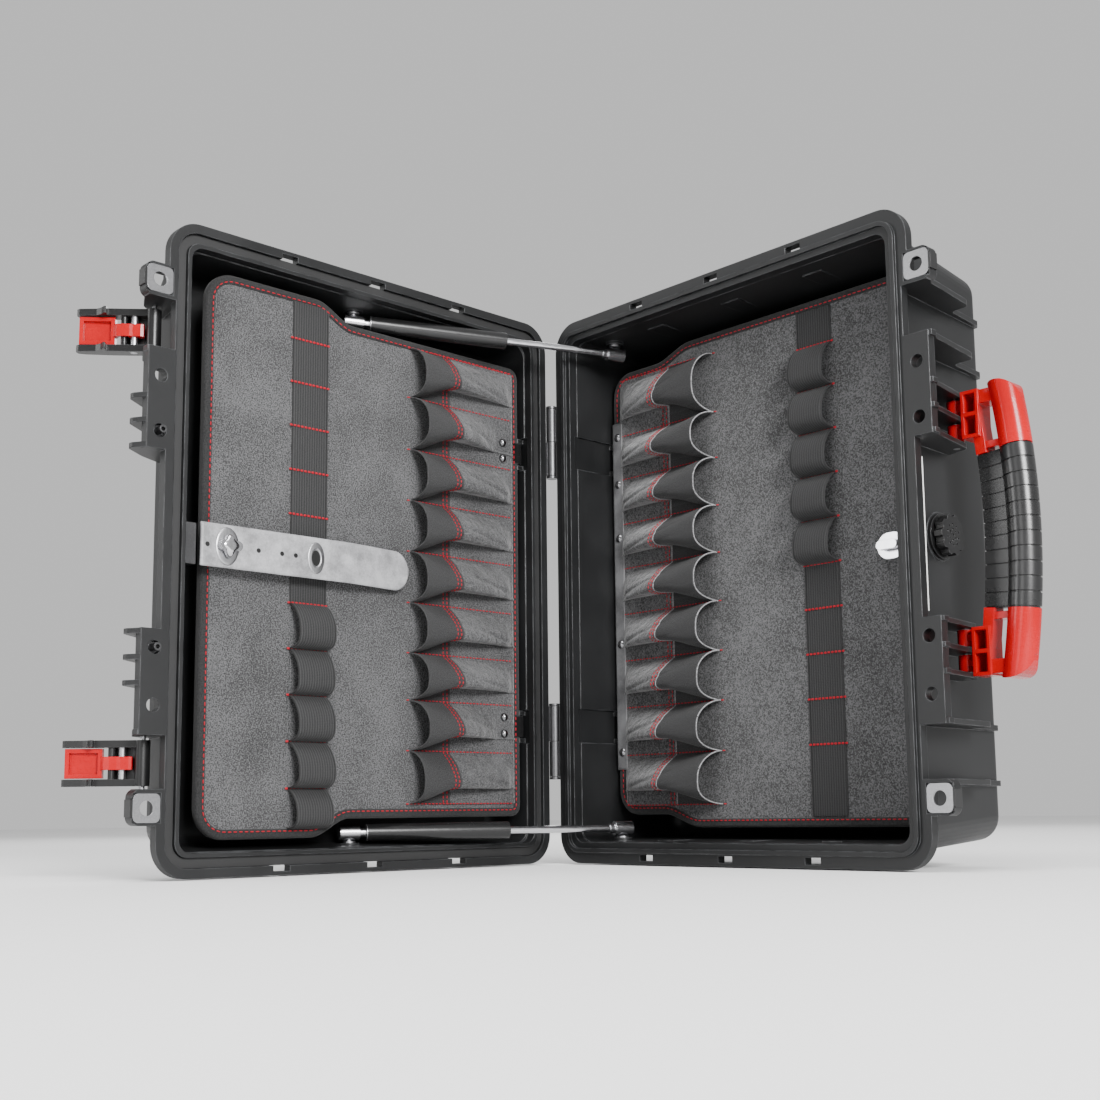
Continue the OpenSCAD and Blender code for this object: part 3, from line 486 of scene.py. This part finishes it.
def make_piece(name, parts, finish, body, uvs=None):
    """One object from several closed (vertices, faces) parts, with its UV map if it has one."""
    verts, faces, start = [], [], 0
    for part_verts, part_faces in parts:
        verts.append(part_verts)
        faces.append(outward(part_verts, part_faces) + start)
        start += len(part_verts)
    verts, faces = np.concatenate(verts), np.concatenate(faces)
    piece = add_object(name, verts, faces.tolist(), finish, body)
    if uvs is not None:
        mesh = piece.data
        layer = mesh.uv_layers.new(name="cloth")
        loops = np.empty(len(mesh.loops), np.int32)
        mesh.loops.foreach_get("vertex_index", loops)
        layer.data.foreach_set("uv", np.concatenate(uvs)[loops].astype(np.float32).ravel())
    return piece


def cloth_uv(points):
    """UV in metres: the grid's own arc lengths, taken along its middle row and column."""
    rows, cols = points.shape[:2]
    step_u = np.linalg.norm(np.diff(points[:, cols // 2], axis=0), axis=-1)
    step_v = np.linalg.norm(np.diff(points[rows // 2], axis=0), axis=-1)
    u = np.concatenate([[0], np.cumsum(step_u)])[:, None] + np.zeros((1, cols))
    v = np.concatenate([[0], np.cumsum(step_v)])[None, :] + np.zeros((rows, 1))
    flat = np.stack([u, v], -1).reshape(-1, 2)
    return np.concatenate([flat, flat])


# %% [markdown]
# The stitches are the case's brightest detail, so they are real geometry: short plump dashes that
# lie on the cloth. One small template is copied to every place with array sums.

# %% Stitches


def dash_template(sides=6, rings=5):
    """Vertices, quads and end triangles of a plump dash from -1 to 1 along x.

    It is a row of circles whose radius is (1 - |x|^3)^0.5, with a point at each end.
    """
    along = np.linspace(-1, 1, rings + 2)[1:-1, None]
    radius = (1 - np.abs(along) ** 3) ** 0.5
    turn = np.arange(sides) * 2 * np.pi / sides
    body = np.stack([along + 0 * turn, radius * np.cos(turn), radius * np.sin(turn)], -1)
    verts = np.concatenate([body.reshape(-1, 3), [[-1.0, 0, 0], [1.0, 0, 0]]])
    index = np.arange(rings * sides).reshape(rings, sides)
    after = np.roll(index, -1, 1)
    quads = np.stack([index[:-1], after[:-1], after[1:], index[1:]], -1).reshape(-1, 4)
    tip = np.full(sides, rings * sides)
    tris = np.concatenate([np.stack([after[0], index[0], tip], -1),
                           np.stack([index[-1], after[-1], tip + 1], -1)])
    return verts, quads, tris


DASH_VERTS, DASH_QUADS, DASH_TRIS = dash_template()
THREAD_R = 0.00042
THREAD_WIDEN = 1.15
THREAD_LIFT = 0.5


def stitch_line(path, normals, pitch=0.0042, length=0.0031):
    """Centres, directions and normals of dashes laid at an even pitch along a path."""
    steps = np.linalg.norm(np.diff(path, axis=0), axis=-1)
    reach = np.concatenate([[0], np.cumsum(steps)])
    count = max(1, int(reach[-1] / pitch))
    centre = (np.arange(count) + 0.5) * reach[-1] / count
    ends = [np.stack([np.interp(centre + k * length / 2, reach, path[:, i]) for i in range(3)], -1)
            for k in (-1, 1)]
    up = np.stack([np.interp(centre, reach, normals[:, i]) for i in range(3)], -1)
    up /= np.linalg.norm(up, axis=-1, keepdims=True)
    return ends[0], ends[1], up


def stitch_piece(name, lines, body):
    """All stitches of one panel as one mesh."""
    start, end, up = (np.concatenate([line[k] for line in lines]) for k in range(3))
    half = (end - start) / 2
    side = np.cross(up, half)
    side /= np.linalg.norm(side, axis=-1, keepdims=True)
    centre = (start + end) / 2 + up * THREAD_R * THREAD_LIFT
    verts = (centre[:, None] + half[:, None] * DASH_VERTS[None, :, :1]
             + side[:, None] * DASH_VERTS[None, :, 1:2] * THREAD_R * THREAD_WIDEN
             + up[:, None] * DASH_VERTS[None, :, 2:] * THREAD_R)
    count, size = len(centre), len(DASH_VERTS)
    offset = (np.arange(count) * size)[:, None, None]
    quads = (DASH_QUADS[None] + offset).reshape(-1, 4)
    tris = (DASH_TRIS[None] + offset).reshape(-1, 3)
    add_object(name, verts.reshape(-1, 3), quads.tolist() + tris.tolist(), thread_red, body)
    print(name, count, "stitches")


# %% [markdown]
# A pocket is a strip of cloth sewn down at its seams and pushed up between them by what it holds.
# The case stands on end, so each pocket sags towards its lower seam: the cloth rises gently from
# the seam above, folds over steeply, and lies flat just above the seam below. Two parameters give
# the shape: `full`, from 0 at the heel to 1 at the mouth, and `t`, from one seam to the next.

# %% Pocket heights


def smooth(x):
    """Smoothstep: 3x^2 - 2x^3 between 0 and 1."""
    x = np.clip(x, 0, 1)
    return x * x * (3 - 2 * x)


def arch(t):
    """A rounded bump from 0 to 1 and back: (1 - |2t - 1|^2.6)^0.6."""
    return np.clip(1 - np.abs(2 * np.clip(t, 0, 1) - 1) ** 2.6, 0, 1) ** 0.6


class Row:
    """One panel's row of pockets: places of its seams, and heights at its heel and its mouth."""

    def __init__(self, point, face, seams, span, foot, low, high):
        self.point, self.face, self.seams = point, face, np.array(seams, float)
        self.heel, self.join, self.mouth = span
        self.foot, self.low, self.high = (np.array(v, float) for v in (foot, low, high))

    def across(self, steps):
        """Pocket number and t of every column, closer together near the seams."""
        t = np.tile((1 - np.cos(np.pi * (np.arange(steps) + 0.5) / steps)) / 2, len(self.high))
        return np.repeat(np.arange(len(self.high)), steps), t

    def surface(self, s, k, t, lift=0.0):
        """Frame points of the cloth's outer face.

        height = (low + (high - low) * sin(90 deg * rise)) * arch(u^lean) - creases, with u the
        share of the raised part, and z = seam - width * (t + sag * arch): the bump hangs down
        over the flat band. A crease is a sharp step that fades away slowly on its lower side.
        """
        full = np.clip((s - self.heel) / (self.mouth - self.heel), 0, 1)
        rise = np.clip((s - self.foot[k]) / (self.mouth - self.foot[k]), 0, 1)
        open_end = smooth((s - self.join) / (self.mouth - self.join))
        start, end = 0.10 * (1 - full), 1 - 0.33 * (1 - open_end)
        u = np.clip((t - start) / (end - start), 0, 1)
        bump = arch(u ** (1 + 0.8 * (1 - open_end)))
        tall = self.low[k] * smooth(8 * rise) + (self.high[k] - self.low[k]) * np.sin(
            0.5 * np.pi * np.clip(1.3 * rise, 0, 1))
        fold = 0.0
        for place, slope, depth in ((0.10, 0.42, 2.6), (0.36, -0.26, 1.3), (0.52, 0.13, 1.9)):
            line = place + slope * (1 - full) + 0.05 * np.sin(2.3 * k + 9 * place)
            past = t - line
            fold = fold + depth * np.exp(-np.maximum(past / 0.075, -past / 0.018))
        fold = fold * bump * (1 - full) ** 0.8 * (1 - open_end) * np.clip(tall / 8, 0, 1)
        droop = bump * (0.135 - 0.055 * open_end) * np.sin(np.pi * t) ** 0.5
        top, low_seam = self.seams[k], self.seams[k + 1]
        z = top - (top - low_seam) * (t + droop)
        back = 2.5 * bump * open_end
        return self.point(s - back, self.face - 1.1 - tall * bump + fold - lift, z)


LID_FACE, BASE_FACE = 13.0, 50.0
lid_seams = [190.8, 148.4, 104.2, 61.4, 19.0, -23.4, -64.5, -102.9, -143.6, -186.0]
base_seams = [190.0, 139.0, 99.5, 58.8, 18.8, -22.0, -63.2, -104.4, -145.8, -189.0]
lid_row = Row(lid_point, LID_FACE, lid_seams, (38, 109, 148), [37, 55, 37, 37, 37, 37, 37, 55, 37],
              [4, 0, 4, 3, 4, 4, 3, 0, 4], [18, 22, 20, 20, 20, 20, 22, 23, 17])
base_row = Row(base_point, BASE_FACE, base_seams, (38, 99, 148), [38] * 9,
               [6, 7, 6, 7, 5, 6, 7, 6, 5], [24, 27, 25, 26, 27, 26, 26, 28, 28])

# %% Pocket cloth
ACROSS = 64


def pocket_sheet(name, row, span, rows, finish, body, lift=0.0):
    """A closed sheet over the whole row between two distances from the hinge."""
    k, t = row.across(ACROSS)
    s = np.linspace(span[0], span[1], rows)[:, None]
    points = row.surface(s, k[None, :], t[None, :], lift)
    piece = make_piece(name, [solid_sheet(points, 0.001, row.point is base_point)], finish, body,
                       [cloth_uv(points)])
    return piece


lid_heel = pocket_sheet("lid_pocket_heels", lid_row, (36.5, 110), 56, heel_felt, "lid_panel")
pocket_sheet("lid_pocket_mouths", lid_row, (107, 148), 28, pocket_elastic,
             "lid_panel", 0.6)
base_heel = pocket_sheet("base_pocket_heels", base_row, (39, 101), 48, heel_felt, "base_panel")
pocket_sheet("base_pocket_mouths", base_row, (98, 148), 32, pocket_elastic,
             "base_panel", 0.6)
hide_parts("lid_pockets")
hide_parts("base_pockets")

# %% [markdown]
# The mouths and joins of the base pockets have a pale piping: a thin round cord sewn along the
# edge. It is a tube carried along the edge's own curve.

# %% Piping and other tubes


def tube(path, radius, sides=8):
    """A closed tube round a path: circles across each point's direction, with capped ends."""
    ahead = np.gradient(path, axis=0)
    ahead /= np.linalg.norm(ahead, axis=-1, keepdims=True)
    helper = np.where(np.abs(ahead[:, 2:]) < 0.9, [[0, 0, 1.0]], [[1.0, 0, 0]])
    side = np.cross(ahead, helper)
    side /= np.linalg.norm(side, axis=-1, keepdims=True)
    over = np.cross(side, ahead)
    turn = np.arange(sides) * 2 * np.pi / sides
    ring = (path[:, None] + radius * (np.cos(turn)[None, :, None] * side[:, None]
                                      + np.sin(turn)[None, :, None] * over[:, None]))
    count = len(path)
    index = np.arange(count * sides).reshape(count, sides)
    after = np.roll(index, -1, axis=1)
    wall = np.stack([index[:-1], after[:-1], after[1:], index[1:]], -1).reshape(-1, 4)
    half = sides // 2
    caps = [[row[k], row[k + 1], row[sides - 2 - k], row[sides - 1 - k]]
            for row in (index[0][::-1], index[-1]) for k in range(half - 1)]
    return ring.reshape(-1, 3), np.concatenate([wall, np.array(caps)])


edge_k, edge_t = base_row.across(64)
piping = [tube(base_row.surface(s, edge_k, edge_t, lift), 0.00055)
          for s, lift in ((98.3, 0.45), (147.8, 0.1))]
make_piece("base_pocket_piping", piping, piping_cloth, "base_panel")

# %% [markdown]
# The elastic bands are one strip each. They lie flat where they are tight and stand up in loops
# where the tools go, so a band is a path of lengths and heights carried straight across its width.

# %% Elastic bands


def band_path(tacks, rises, z_ends, sag=0.09):
    """(z, height) along a band, resampled evenly.

    Between two tacks t runs from 0 to 1, height = 1.3 + rise * arch(t^1.25) and
    z = tack - gap * (t + sag * arch * sin(180 deg * t)), so a loop hangs over its lower tack.
    """
    t = (1 - np.cos(np.pi * np.linspace(0, 1, 160))) / 2
    z, h = [np.array([z_ends[0]])], [np.array([1.3])]
    for top, low, rise in zip(tacks[:-1], tacks[1:], rises):
        bump = arch(t ** 1.25) if rise else 0 * t
        z.append(top - (top - low) * (t + sag * bump * np.sin(np.pi * t) ** 0.5))
        h.append(1.3 + rise * bump)
    z, h = np.concatenate(z + [np.array([z_ends[1]])]), np.concatenate(h + [np.array([1.3])])
    reach = np.concatenate([[0], np.cumsum(np.hypot(np.diff(z), np.diff(h)))])
    even = np.linspace(0, reach[-1], 560)
    return np.interp(even, reach, z), np.interp(even, reach, h)


def band(name, point, face, s_range, path, body, cad_node):
    """The strip itself, with a slight crown across its width and a lean where it stands up."""
    z, h = path
    share = np.linspace(0, 1, 13)
    s = (s_range[0] + (s_range[1] - s_range[0]) * share)[:, None] - 0.10 * (h[None, :] - 1.3)
    crown = 0.3 * np.sin(np.pi * share)[:, None]
    points = point(s, face - h[None, :] - crown, z[None, :])
    piece = make_piece(name, [solid_sheet(points, 0.0011, point is base_point)], band_webbing,
                       body, [cloth_uv(points)])
    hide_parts(cad_node)


LID_BAND = (229.0, 261.5)
BASE_BAND = (237.5, 270.5)
lid_tacks = [174.0, 139.2, 104.4, 69.6, 34.8, -34.0, -69.0, -104.0, -139.0, -174.0, -204.0]
base_tacks = [170.0, 135.0, 100.0, 65.0, 30.0, -5.0, -40.0, -75.0, -110.0, -145.0]
band("lid_elastic_band", lid_point, LID_FACE, LID_BAND,
     band_path(lid_tacks, [0, 0, 0, 0, 0, 13, 12, 13, 14, 12], (204.0, -204.3)),
     "lid_panel", "lid_elastic")
band("base_elastic_band", base_point, BASE_FACE, BASE_BAND,
     band_path(base_tacks, [13, 14, 13, 14, 13, 0, 0, 0, 0], (200.0, -200.0)),
     "base_panel", "base_elastic")

# %% [markdown]
# Each board is bound with a folded tape: it starts on the face, turns round the edge and ends on
# the back. The outline is the same narrow, S and wide shape as the solid's.

# %% Board outlines


def board_outline(s0, s1, wide, step, r0, r1, narrow=196.0):
    """Half outline from the hinge side to the front, mirrored to close. Points are (s, z)."""
    a = np.radians(np.linspace(180, 90, 12))
    b = np.radians(np.linspace(90, 0, 18))
    t = np.linspace(0, 1, 24)
    side = np.concatenate([
        np.stack([s0 + r0 + r0 * np.cos(a), narrow - r0 + r0 * np.sin(a)], -1),
        np.stack([step[0] + (step[1] - step[0]) * t, narrow + (wide - narrow) * smooth(t)], -1),
        np.stack([s1 - r1 + r1 * np.cos(b), wide - r1 + r1 * np.sin(b)], -1)])
    return np.concatenate([side, side[::-1] * [1, -1]])


def closed_path(outline, spacing=3.0):
    """Even points round a closed outline, with the outward normal at each."""
    loop = np.concatenate([outline, outline[:1]])
    reach = np.concatenate([[0], np.cumsum(np.linalg.norm(np.diff(loop, axis=0), axis=-1))])
    count = int(reach[-1] / spacing)
    even = np.arange(count) * reach[-1] / count
    at = np.stack([np.interp(even, reach, loop[:, i]) for i in range(2)], -1)
    ahead = np.roll(at, -1, 0) - np.roll(at, 1, 0)
    out = np.stack([-ahead[:, 1], ahead[:, 0]], -1)
    out /= np.linalg.norm(out, axis=-1, keepdims=True)
    return at, out, reach[-1]


lid_outline = board_outline(30.0, 336.0, 210.0, (205.0, 240.0), 8.0, 22.0)
base_outline = board_outline(30.6, 345.0, 207.0, (82.0, 122.0), 20.0, 16.0)


def binding(name, point, face, outline, body):
    """A tape round the edge: its section runs from the face over a rounded edge to the back."""
    at, out, round_it = closed_path(outline)
    section = np.array([[-6.4, 0.05], [-6.0, 0.9], [-3.0, 1.15], [-0.4, 0.9], [0.7, -0.2],
                        [0.95, -2.5], [0.7, -4.8], [-0.4, -5.9], [-3.0, -6.1], [-6.0, -5.9],
                        [-6.4, -5.05]])
    t = np.linspace(0, len(section) - 1, 31)
    section = np.stack([np.interp(t, np.arange(len(section)), section[:, i]) for i in range(2)], -1)
    place = at[:, None] + out[:, None] * section[None, :, :1]
    points = point(place[..., 0], face - section[None, :, 1], place[..., 1])
    rows, cols = points.shape[:2]
    index = np.arange(rows * cols).reshape(rows, cols)
    after = np.roll(index, -1, 0)
    faces = np.stack([index[:, :-1], after[:, :-1], after[:, 1:], index[:, 1:]], -1).reshape(-1, 4)
    seal = np.stack([index[:, -1], after[:, -1], after[:, 0], index[:, 0]], -1)
    faces = np.concatenate([faces, seal])
    make_piece(name, [(points.reshape(-1, 3), faces)], binding_tape, body)
    print(name, "length", round(round_it / 1000, 3), "m")


binding("lid_panel_binding", lid_point, LID_FACE, lid_outline, "lid_panel")
binding("base_panel_binding", base_point, BASE_FACE, base_outline, "base_panel")

# %% [markdown]
# Stitch lines: round each board inside its binding, along each pocket seam, twice across the
# pockets where heel and mouth join, and a heavy tack wherever a band is sewn down.

# %% Stitching


def straight(point, face, s, z, lift):
    """A stitch line along s at one z. The lift may be a list of (s, height) steps."""
    s = np.linspace(s[0], s[1], 160)
    if not isinstance(lift, float):
        lift = np.interp(s, *zip(*lift))
    path = point(s, face - lift, z + 0 * s)
    up = point(0.0, -1.0, 0.0) - point(0.0, 0.0, 0.0)
    return path, np.repeat(up[None], 160, 0)


def panel_lines(row, outline, band_range, tacks, joins):
    """Every stitch line of one panel."""
    lines = []
    at, out, _ = closed_path(outline, 2.0)
    inner = np.concatenate([at - 4.6 * out, (at - 4.6 * out)[:1]])
    up = row.point(0.0, -1.0, 0.0) - row.point(0.0, 0.0, 0.0)
    lines.append(stitch_line(row.point(inner[:, 0], row.face - 1.2, inner[:, 1]),
                             np.repeat(up[None], len(inner), 0), 0.0046, 0.0034))
    steps = [(row.join - 3, 1.2), (row.join - 1, 1.8), (row.mouth, 1.8), (row.mouth + 1.5, 0.2)]
    for z in row.seams:
        lines.append(stitch_line(*straight(row.point, row.face, (row.heel + 1, row.mouth + 3.5),
                                           z, steps), 0.0036, 0.0029))
    k, t = row.across(120)
    for s in joins:
        lift = 0.12 + (0.6 if s > row.join else 0.0)
        path, beside = row.surface(s, k, t, lift), row.surface(s + 1.0, k, t, lift)
        normal = np.cross(beside - path, np.gradient(path, axis=0))
        normal *= -1 if row.point is base_point else 1
        lines.append(stitch_line(path, normal, 0.0036, 0.0027))
    for z in tacks:
        for shift in (-0.35, 0.35):
            lines.append(stitch_line(*straight(row.point, row.face,
                                               (band_range[0] - 1, band_range[1] + 3),
                                               z + shift, 1.65), 0.0031, 0.0029))
    return lines


stitch_piece("lid_panel_stitches", panel_lines(
    lid_row, lid_outline, LID_BAND, lid_tacks[:10], (110.5, 114.5)), "lid_panel")
stitch_piece("base_panel_stitches", panel_lines(
    base_row, base_outline, BASE_BAND, base_tacks, (91.0, 95.0)), "base_panel")

# %% [markdown]
# The strap is a strip of vinyl with a rolled edge. It lies low at its loose end and rises to the
# turn-lock. Its holes are not cut: each is an oval of painted shade in the vinyl's finish.

# %% Strap
STRAP_HALF = 16.0
STRAP_ENDS = (153.5, 344.0)
STRAP_LOW, STRAP_HIGH, STRAP_RISE = 5.5, 13.0, 70.0
STRAP_NOSE = 14


def strap_height(s):
    """Height above the board: low at the loose end, and level from the grommet to the wall."""
    return STRAP_LOW + (STRAP_HIGH - STRAP_LOW) * smooth((s - STRAP_ENDS[0]) / STRAP_RISE)


strap_s = np.linspace(STRAP_ENDS[0], STRAP_ENDS[1], 90)
strap_round = 1 - np.clip((STRAP_ENDS[0] + STRAP_NOSE - strap_s) / STRAP_NOSE, 0, 1) ** 2
strap_v = np.linspace(-1, 1, 25)
strap_z = STRAP_HALF * strap_v[None, :] * np.sqrt(np.clip(strap_round, 0.02, 1))[:, None]
strap_roll = 0.55 * np.abs(strap_v[None, :]) ** 8
strap_points = lid_point(strap_s[:, None], LID_FACE - 1 - strap_height(strap_s)[:, None]
                         + strap_roll, strap_z)
strap = make_piece("lid_strap", [solid_sheet(strap_points, 0.0022, True)], strap_vinyl,
                   "lid_panel", [cloth_uv(strap_points)])
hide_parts("closing_strap")

# %% [markdown]
# The grommet near the strap's middle is an oval plate with a raised rim round its hole, and the
# turn-lock has a larger one. Both are one section carried round an oval: the same profile at
# every angle, stretched along one side. The knob on the turn-lock's bar is a four-lobed dome.

# %% Grommets


def oval_ring(s0, depth, outer, stretch, section, steps=48):
    """A (radius, height) section carried round an oval, on the lid side at mid-height.

    s = s0 + outer * radius * cos(turn) and z = stretch * outer * radius * sin(turn).
    """
    turn = np.arange(steps) * 2 * np.pi / steps
    radius = outer * section[None, :, 0]
    s = s0 + radius * np.cos(turn)[:, None]
    z = stretch * radius * np.sin(turn)[:, None]
    points = lid_point(s, depth - section[None, :, 1], z)
    rows, cols = points.shape[:2]
    index = np.arange(rows * cols).reshape(rows, cols)
    after, nxt = np.roll(index, -1, 0), np.roll(index, -1, 1)
    both = np.roll(after, -1, 1)
    faces = np.stack([index, nxt, both, after], -1).reshape(-1, 4)
    return points.reshape(-1, 3), faces


GROMMET = np.array([[0.52, -0.5], [0.53, 0.45], [0.60, 0.75], [0.70, 0.55], [0.90, 0.5],
                    [0.97, 0.4], [1.0, 0.1], [0.98, -0.4]])
PLATE = np.array([[0.27, -0.4], [0.29, 0.55], [0.5, 0.65], [0.86, 0.65], [0.95, 0.45],
                  [1.0, 0.1], [0.98, -0.4]])
strap_top = LID_FACE - 1 - STRAP_HIGH
make_piece("strap_grommet", [oval_ring(GROMMET_S, strap_top, 7.4, 1.65, GROMMET)], steel,
           "lid_panel")
make_piece("turnlock_plate", [oval_ring(TURNLOCK_S, strap_top, 9.6, 1.46, PLATE)], steel,
           "lid_panel")


def star_dome(s0, depth, radius, lobes, height, steps=64, rings=14):
    """A four-lobed knob on the lid side.

    The radius is rho * (1 + lobes * rho^2 * cos(4 turn)) and the height (1 - rho^4)^0.5, with
    rho from 0 at the top to 1 at the rim. A flat fan closes the underside.
    """
    turn = np.arange(steps) * 2 * np.pi / steps
    rho = np.sin(np.linspace(0, np.pi / 2, rings + 1))[1:, None]
    reach = radius * rho * (1 + lobes * rho ** 2 * np.cos(4 * turn))
    up = height * np.sqrt(1 - np.clip(rho, 0, 1) ** 4) + 0 * turn
    points = lid_point(s0 + reach * np.cos(turn), depth - up, reach * np.sin(turn))
    ends = lid_point(np.array([s0, s0]), depth - np.array([height, 0.0]), np.zeros(2))
    index = np.arange(rings * steps).reshape(rings, steps)
    after = np.roll(index, -1, 1)
    wall = np.stack([index[:-1], index[1:], after[1:], after[:-1]], -1).reshape(-1, 4)
    top, rim = index[0], index[-1]
    caps = [np.stack([0 * ring[::2] + centre, ring[::2], ring[1::2], np.roll(ring, -2)[::2]], -1)
            for ring, centre in ((top, rings * steps), (rim, rings * steps + 1))]
    faces = np.concatenate([wall, caps[0], caps[1][:, ::-1]])
    return np.concatenate([points.reshape(-1, 3), ends]), faces[:, ::-1]


make_piece("turnlock_knob_cap", [star_dome(TURNLOCK_S, -3.4, 7.4, 0.2, 4.9)], bright_steel,
           "lid_turnlock")

# %% [markdown]
# The base panel's rear edge is held down by a narrow strip, riveted through the pocket cloth. It is
# a flat grid that widens and narrows slightly along its length, as cut leathercloth does.

# %% Riveted strip of the base panel
STRIP_S, STRIP_Z, STRIP_LIFT = (29.4, 41.0), (152, -158), 1.95
strip_z = np.linspace(*STRIP_Z, 120)
strip_s = np.linspace(*STRIP_S, 9)
strip_wave = 0.5 * np.sin(strip_z / 23.0)
strip_points = base_point(strip_s[:, None] + 0.05 * (strip_s[:, None] - STRIP_S[0]) * strip_wave,
                          BASE_FACE - STRIP_LIFT + 0 * strip_s[:, None], strip_z[None, :])
strip = make_piece("base_rear_strip", [solid_sheet(strip_points, 0.0014, True)], strip_vinyl,
                   "base_panel", [cloth_uv(strip_points)])
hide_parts("base_strip")

# %% [markdown]
# The studio is a flat pale floor under a white sky. A large key light on the right faces the open
# lid and only grazes the base panel, which stays darker. A weak light on the left puts a sheen on
# the base's rim, and three fainter ones keep the top, the back and the front from going black.

# %% Floor and light
floor_mesh = bpy.data.meshes.new("floor")
floor_mesh.from_pydata([(-6, -6, -0.001), (6, -6, -0.001), (6, 6, -0.001), (-6, 6, -0.001)], [],
                       [(0, 1, 2, 3)])
floor = bpy.data.objects.new("floor", floor_mesh)
bpy.context.scene.collection.objects.link(floor)
floor_finish = Finish("floor_paper", Roughness=0.9, Base_Color=(0.86, 0.86, 0.86, 1))
floor_mesh.materials.append(floor_finish.material)


def soft_light(name, at, aim, size, watts):
    """A square area light that faces a point."""
    light = bpy.data.lights.new(name, "AREA")
    light.energy, light.size = watts, size
    lamp = bpy.data.objects.new(name, light)
    way = np.array(aim) - np.array(at)
    bpy.context.scene.collection.objects.link(lamp)
    lamp.location = at
    lamp.rotation_mode = "QUATERNION"
    lamp.rotation_quaternion = Vector([float(v) for v in way]).to_track_quat("-Z", "Y")


LIGHTS = [
    ("key", (2.5, -0.85, 1.15), (0, 0, 0.25), 0.9, 168),
    ("over", (0.3, -0.6, 1.9), (0, 0, 0.2), 1.0, 26),
    ("left", (-1.3, -1.75, 0.7), (0.1, 0, 0.25), 0.9, 18),
    ("back", (-1.6, 1.4, 1.4), (0, 0, 0.25), 1.2, 24),
    ("low", (0.5, -2.3, 0.5), (0, 0, 0.25), 0.8, 9)]
for settings in LIGHTS:
    soft_light(*settings)

SKY = 0.68
world = bpy.data.worlds.new("studio")
world.use_nodes = True
sky = world.node_tree.nodes["Background"].inputs
sky["Color"].default_value = (1, 1, 1, 1)
sky["Strength"].default_value = SKY
bpy.context.scene.world = world
print(len(LIGHTS), "lights")
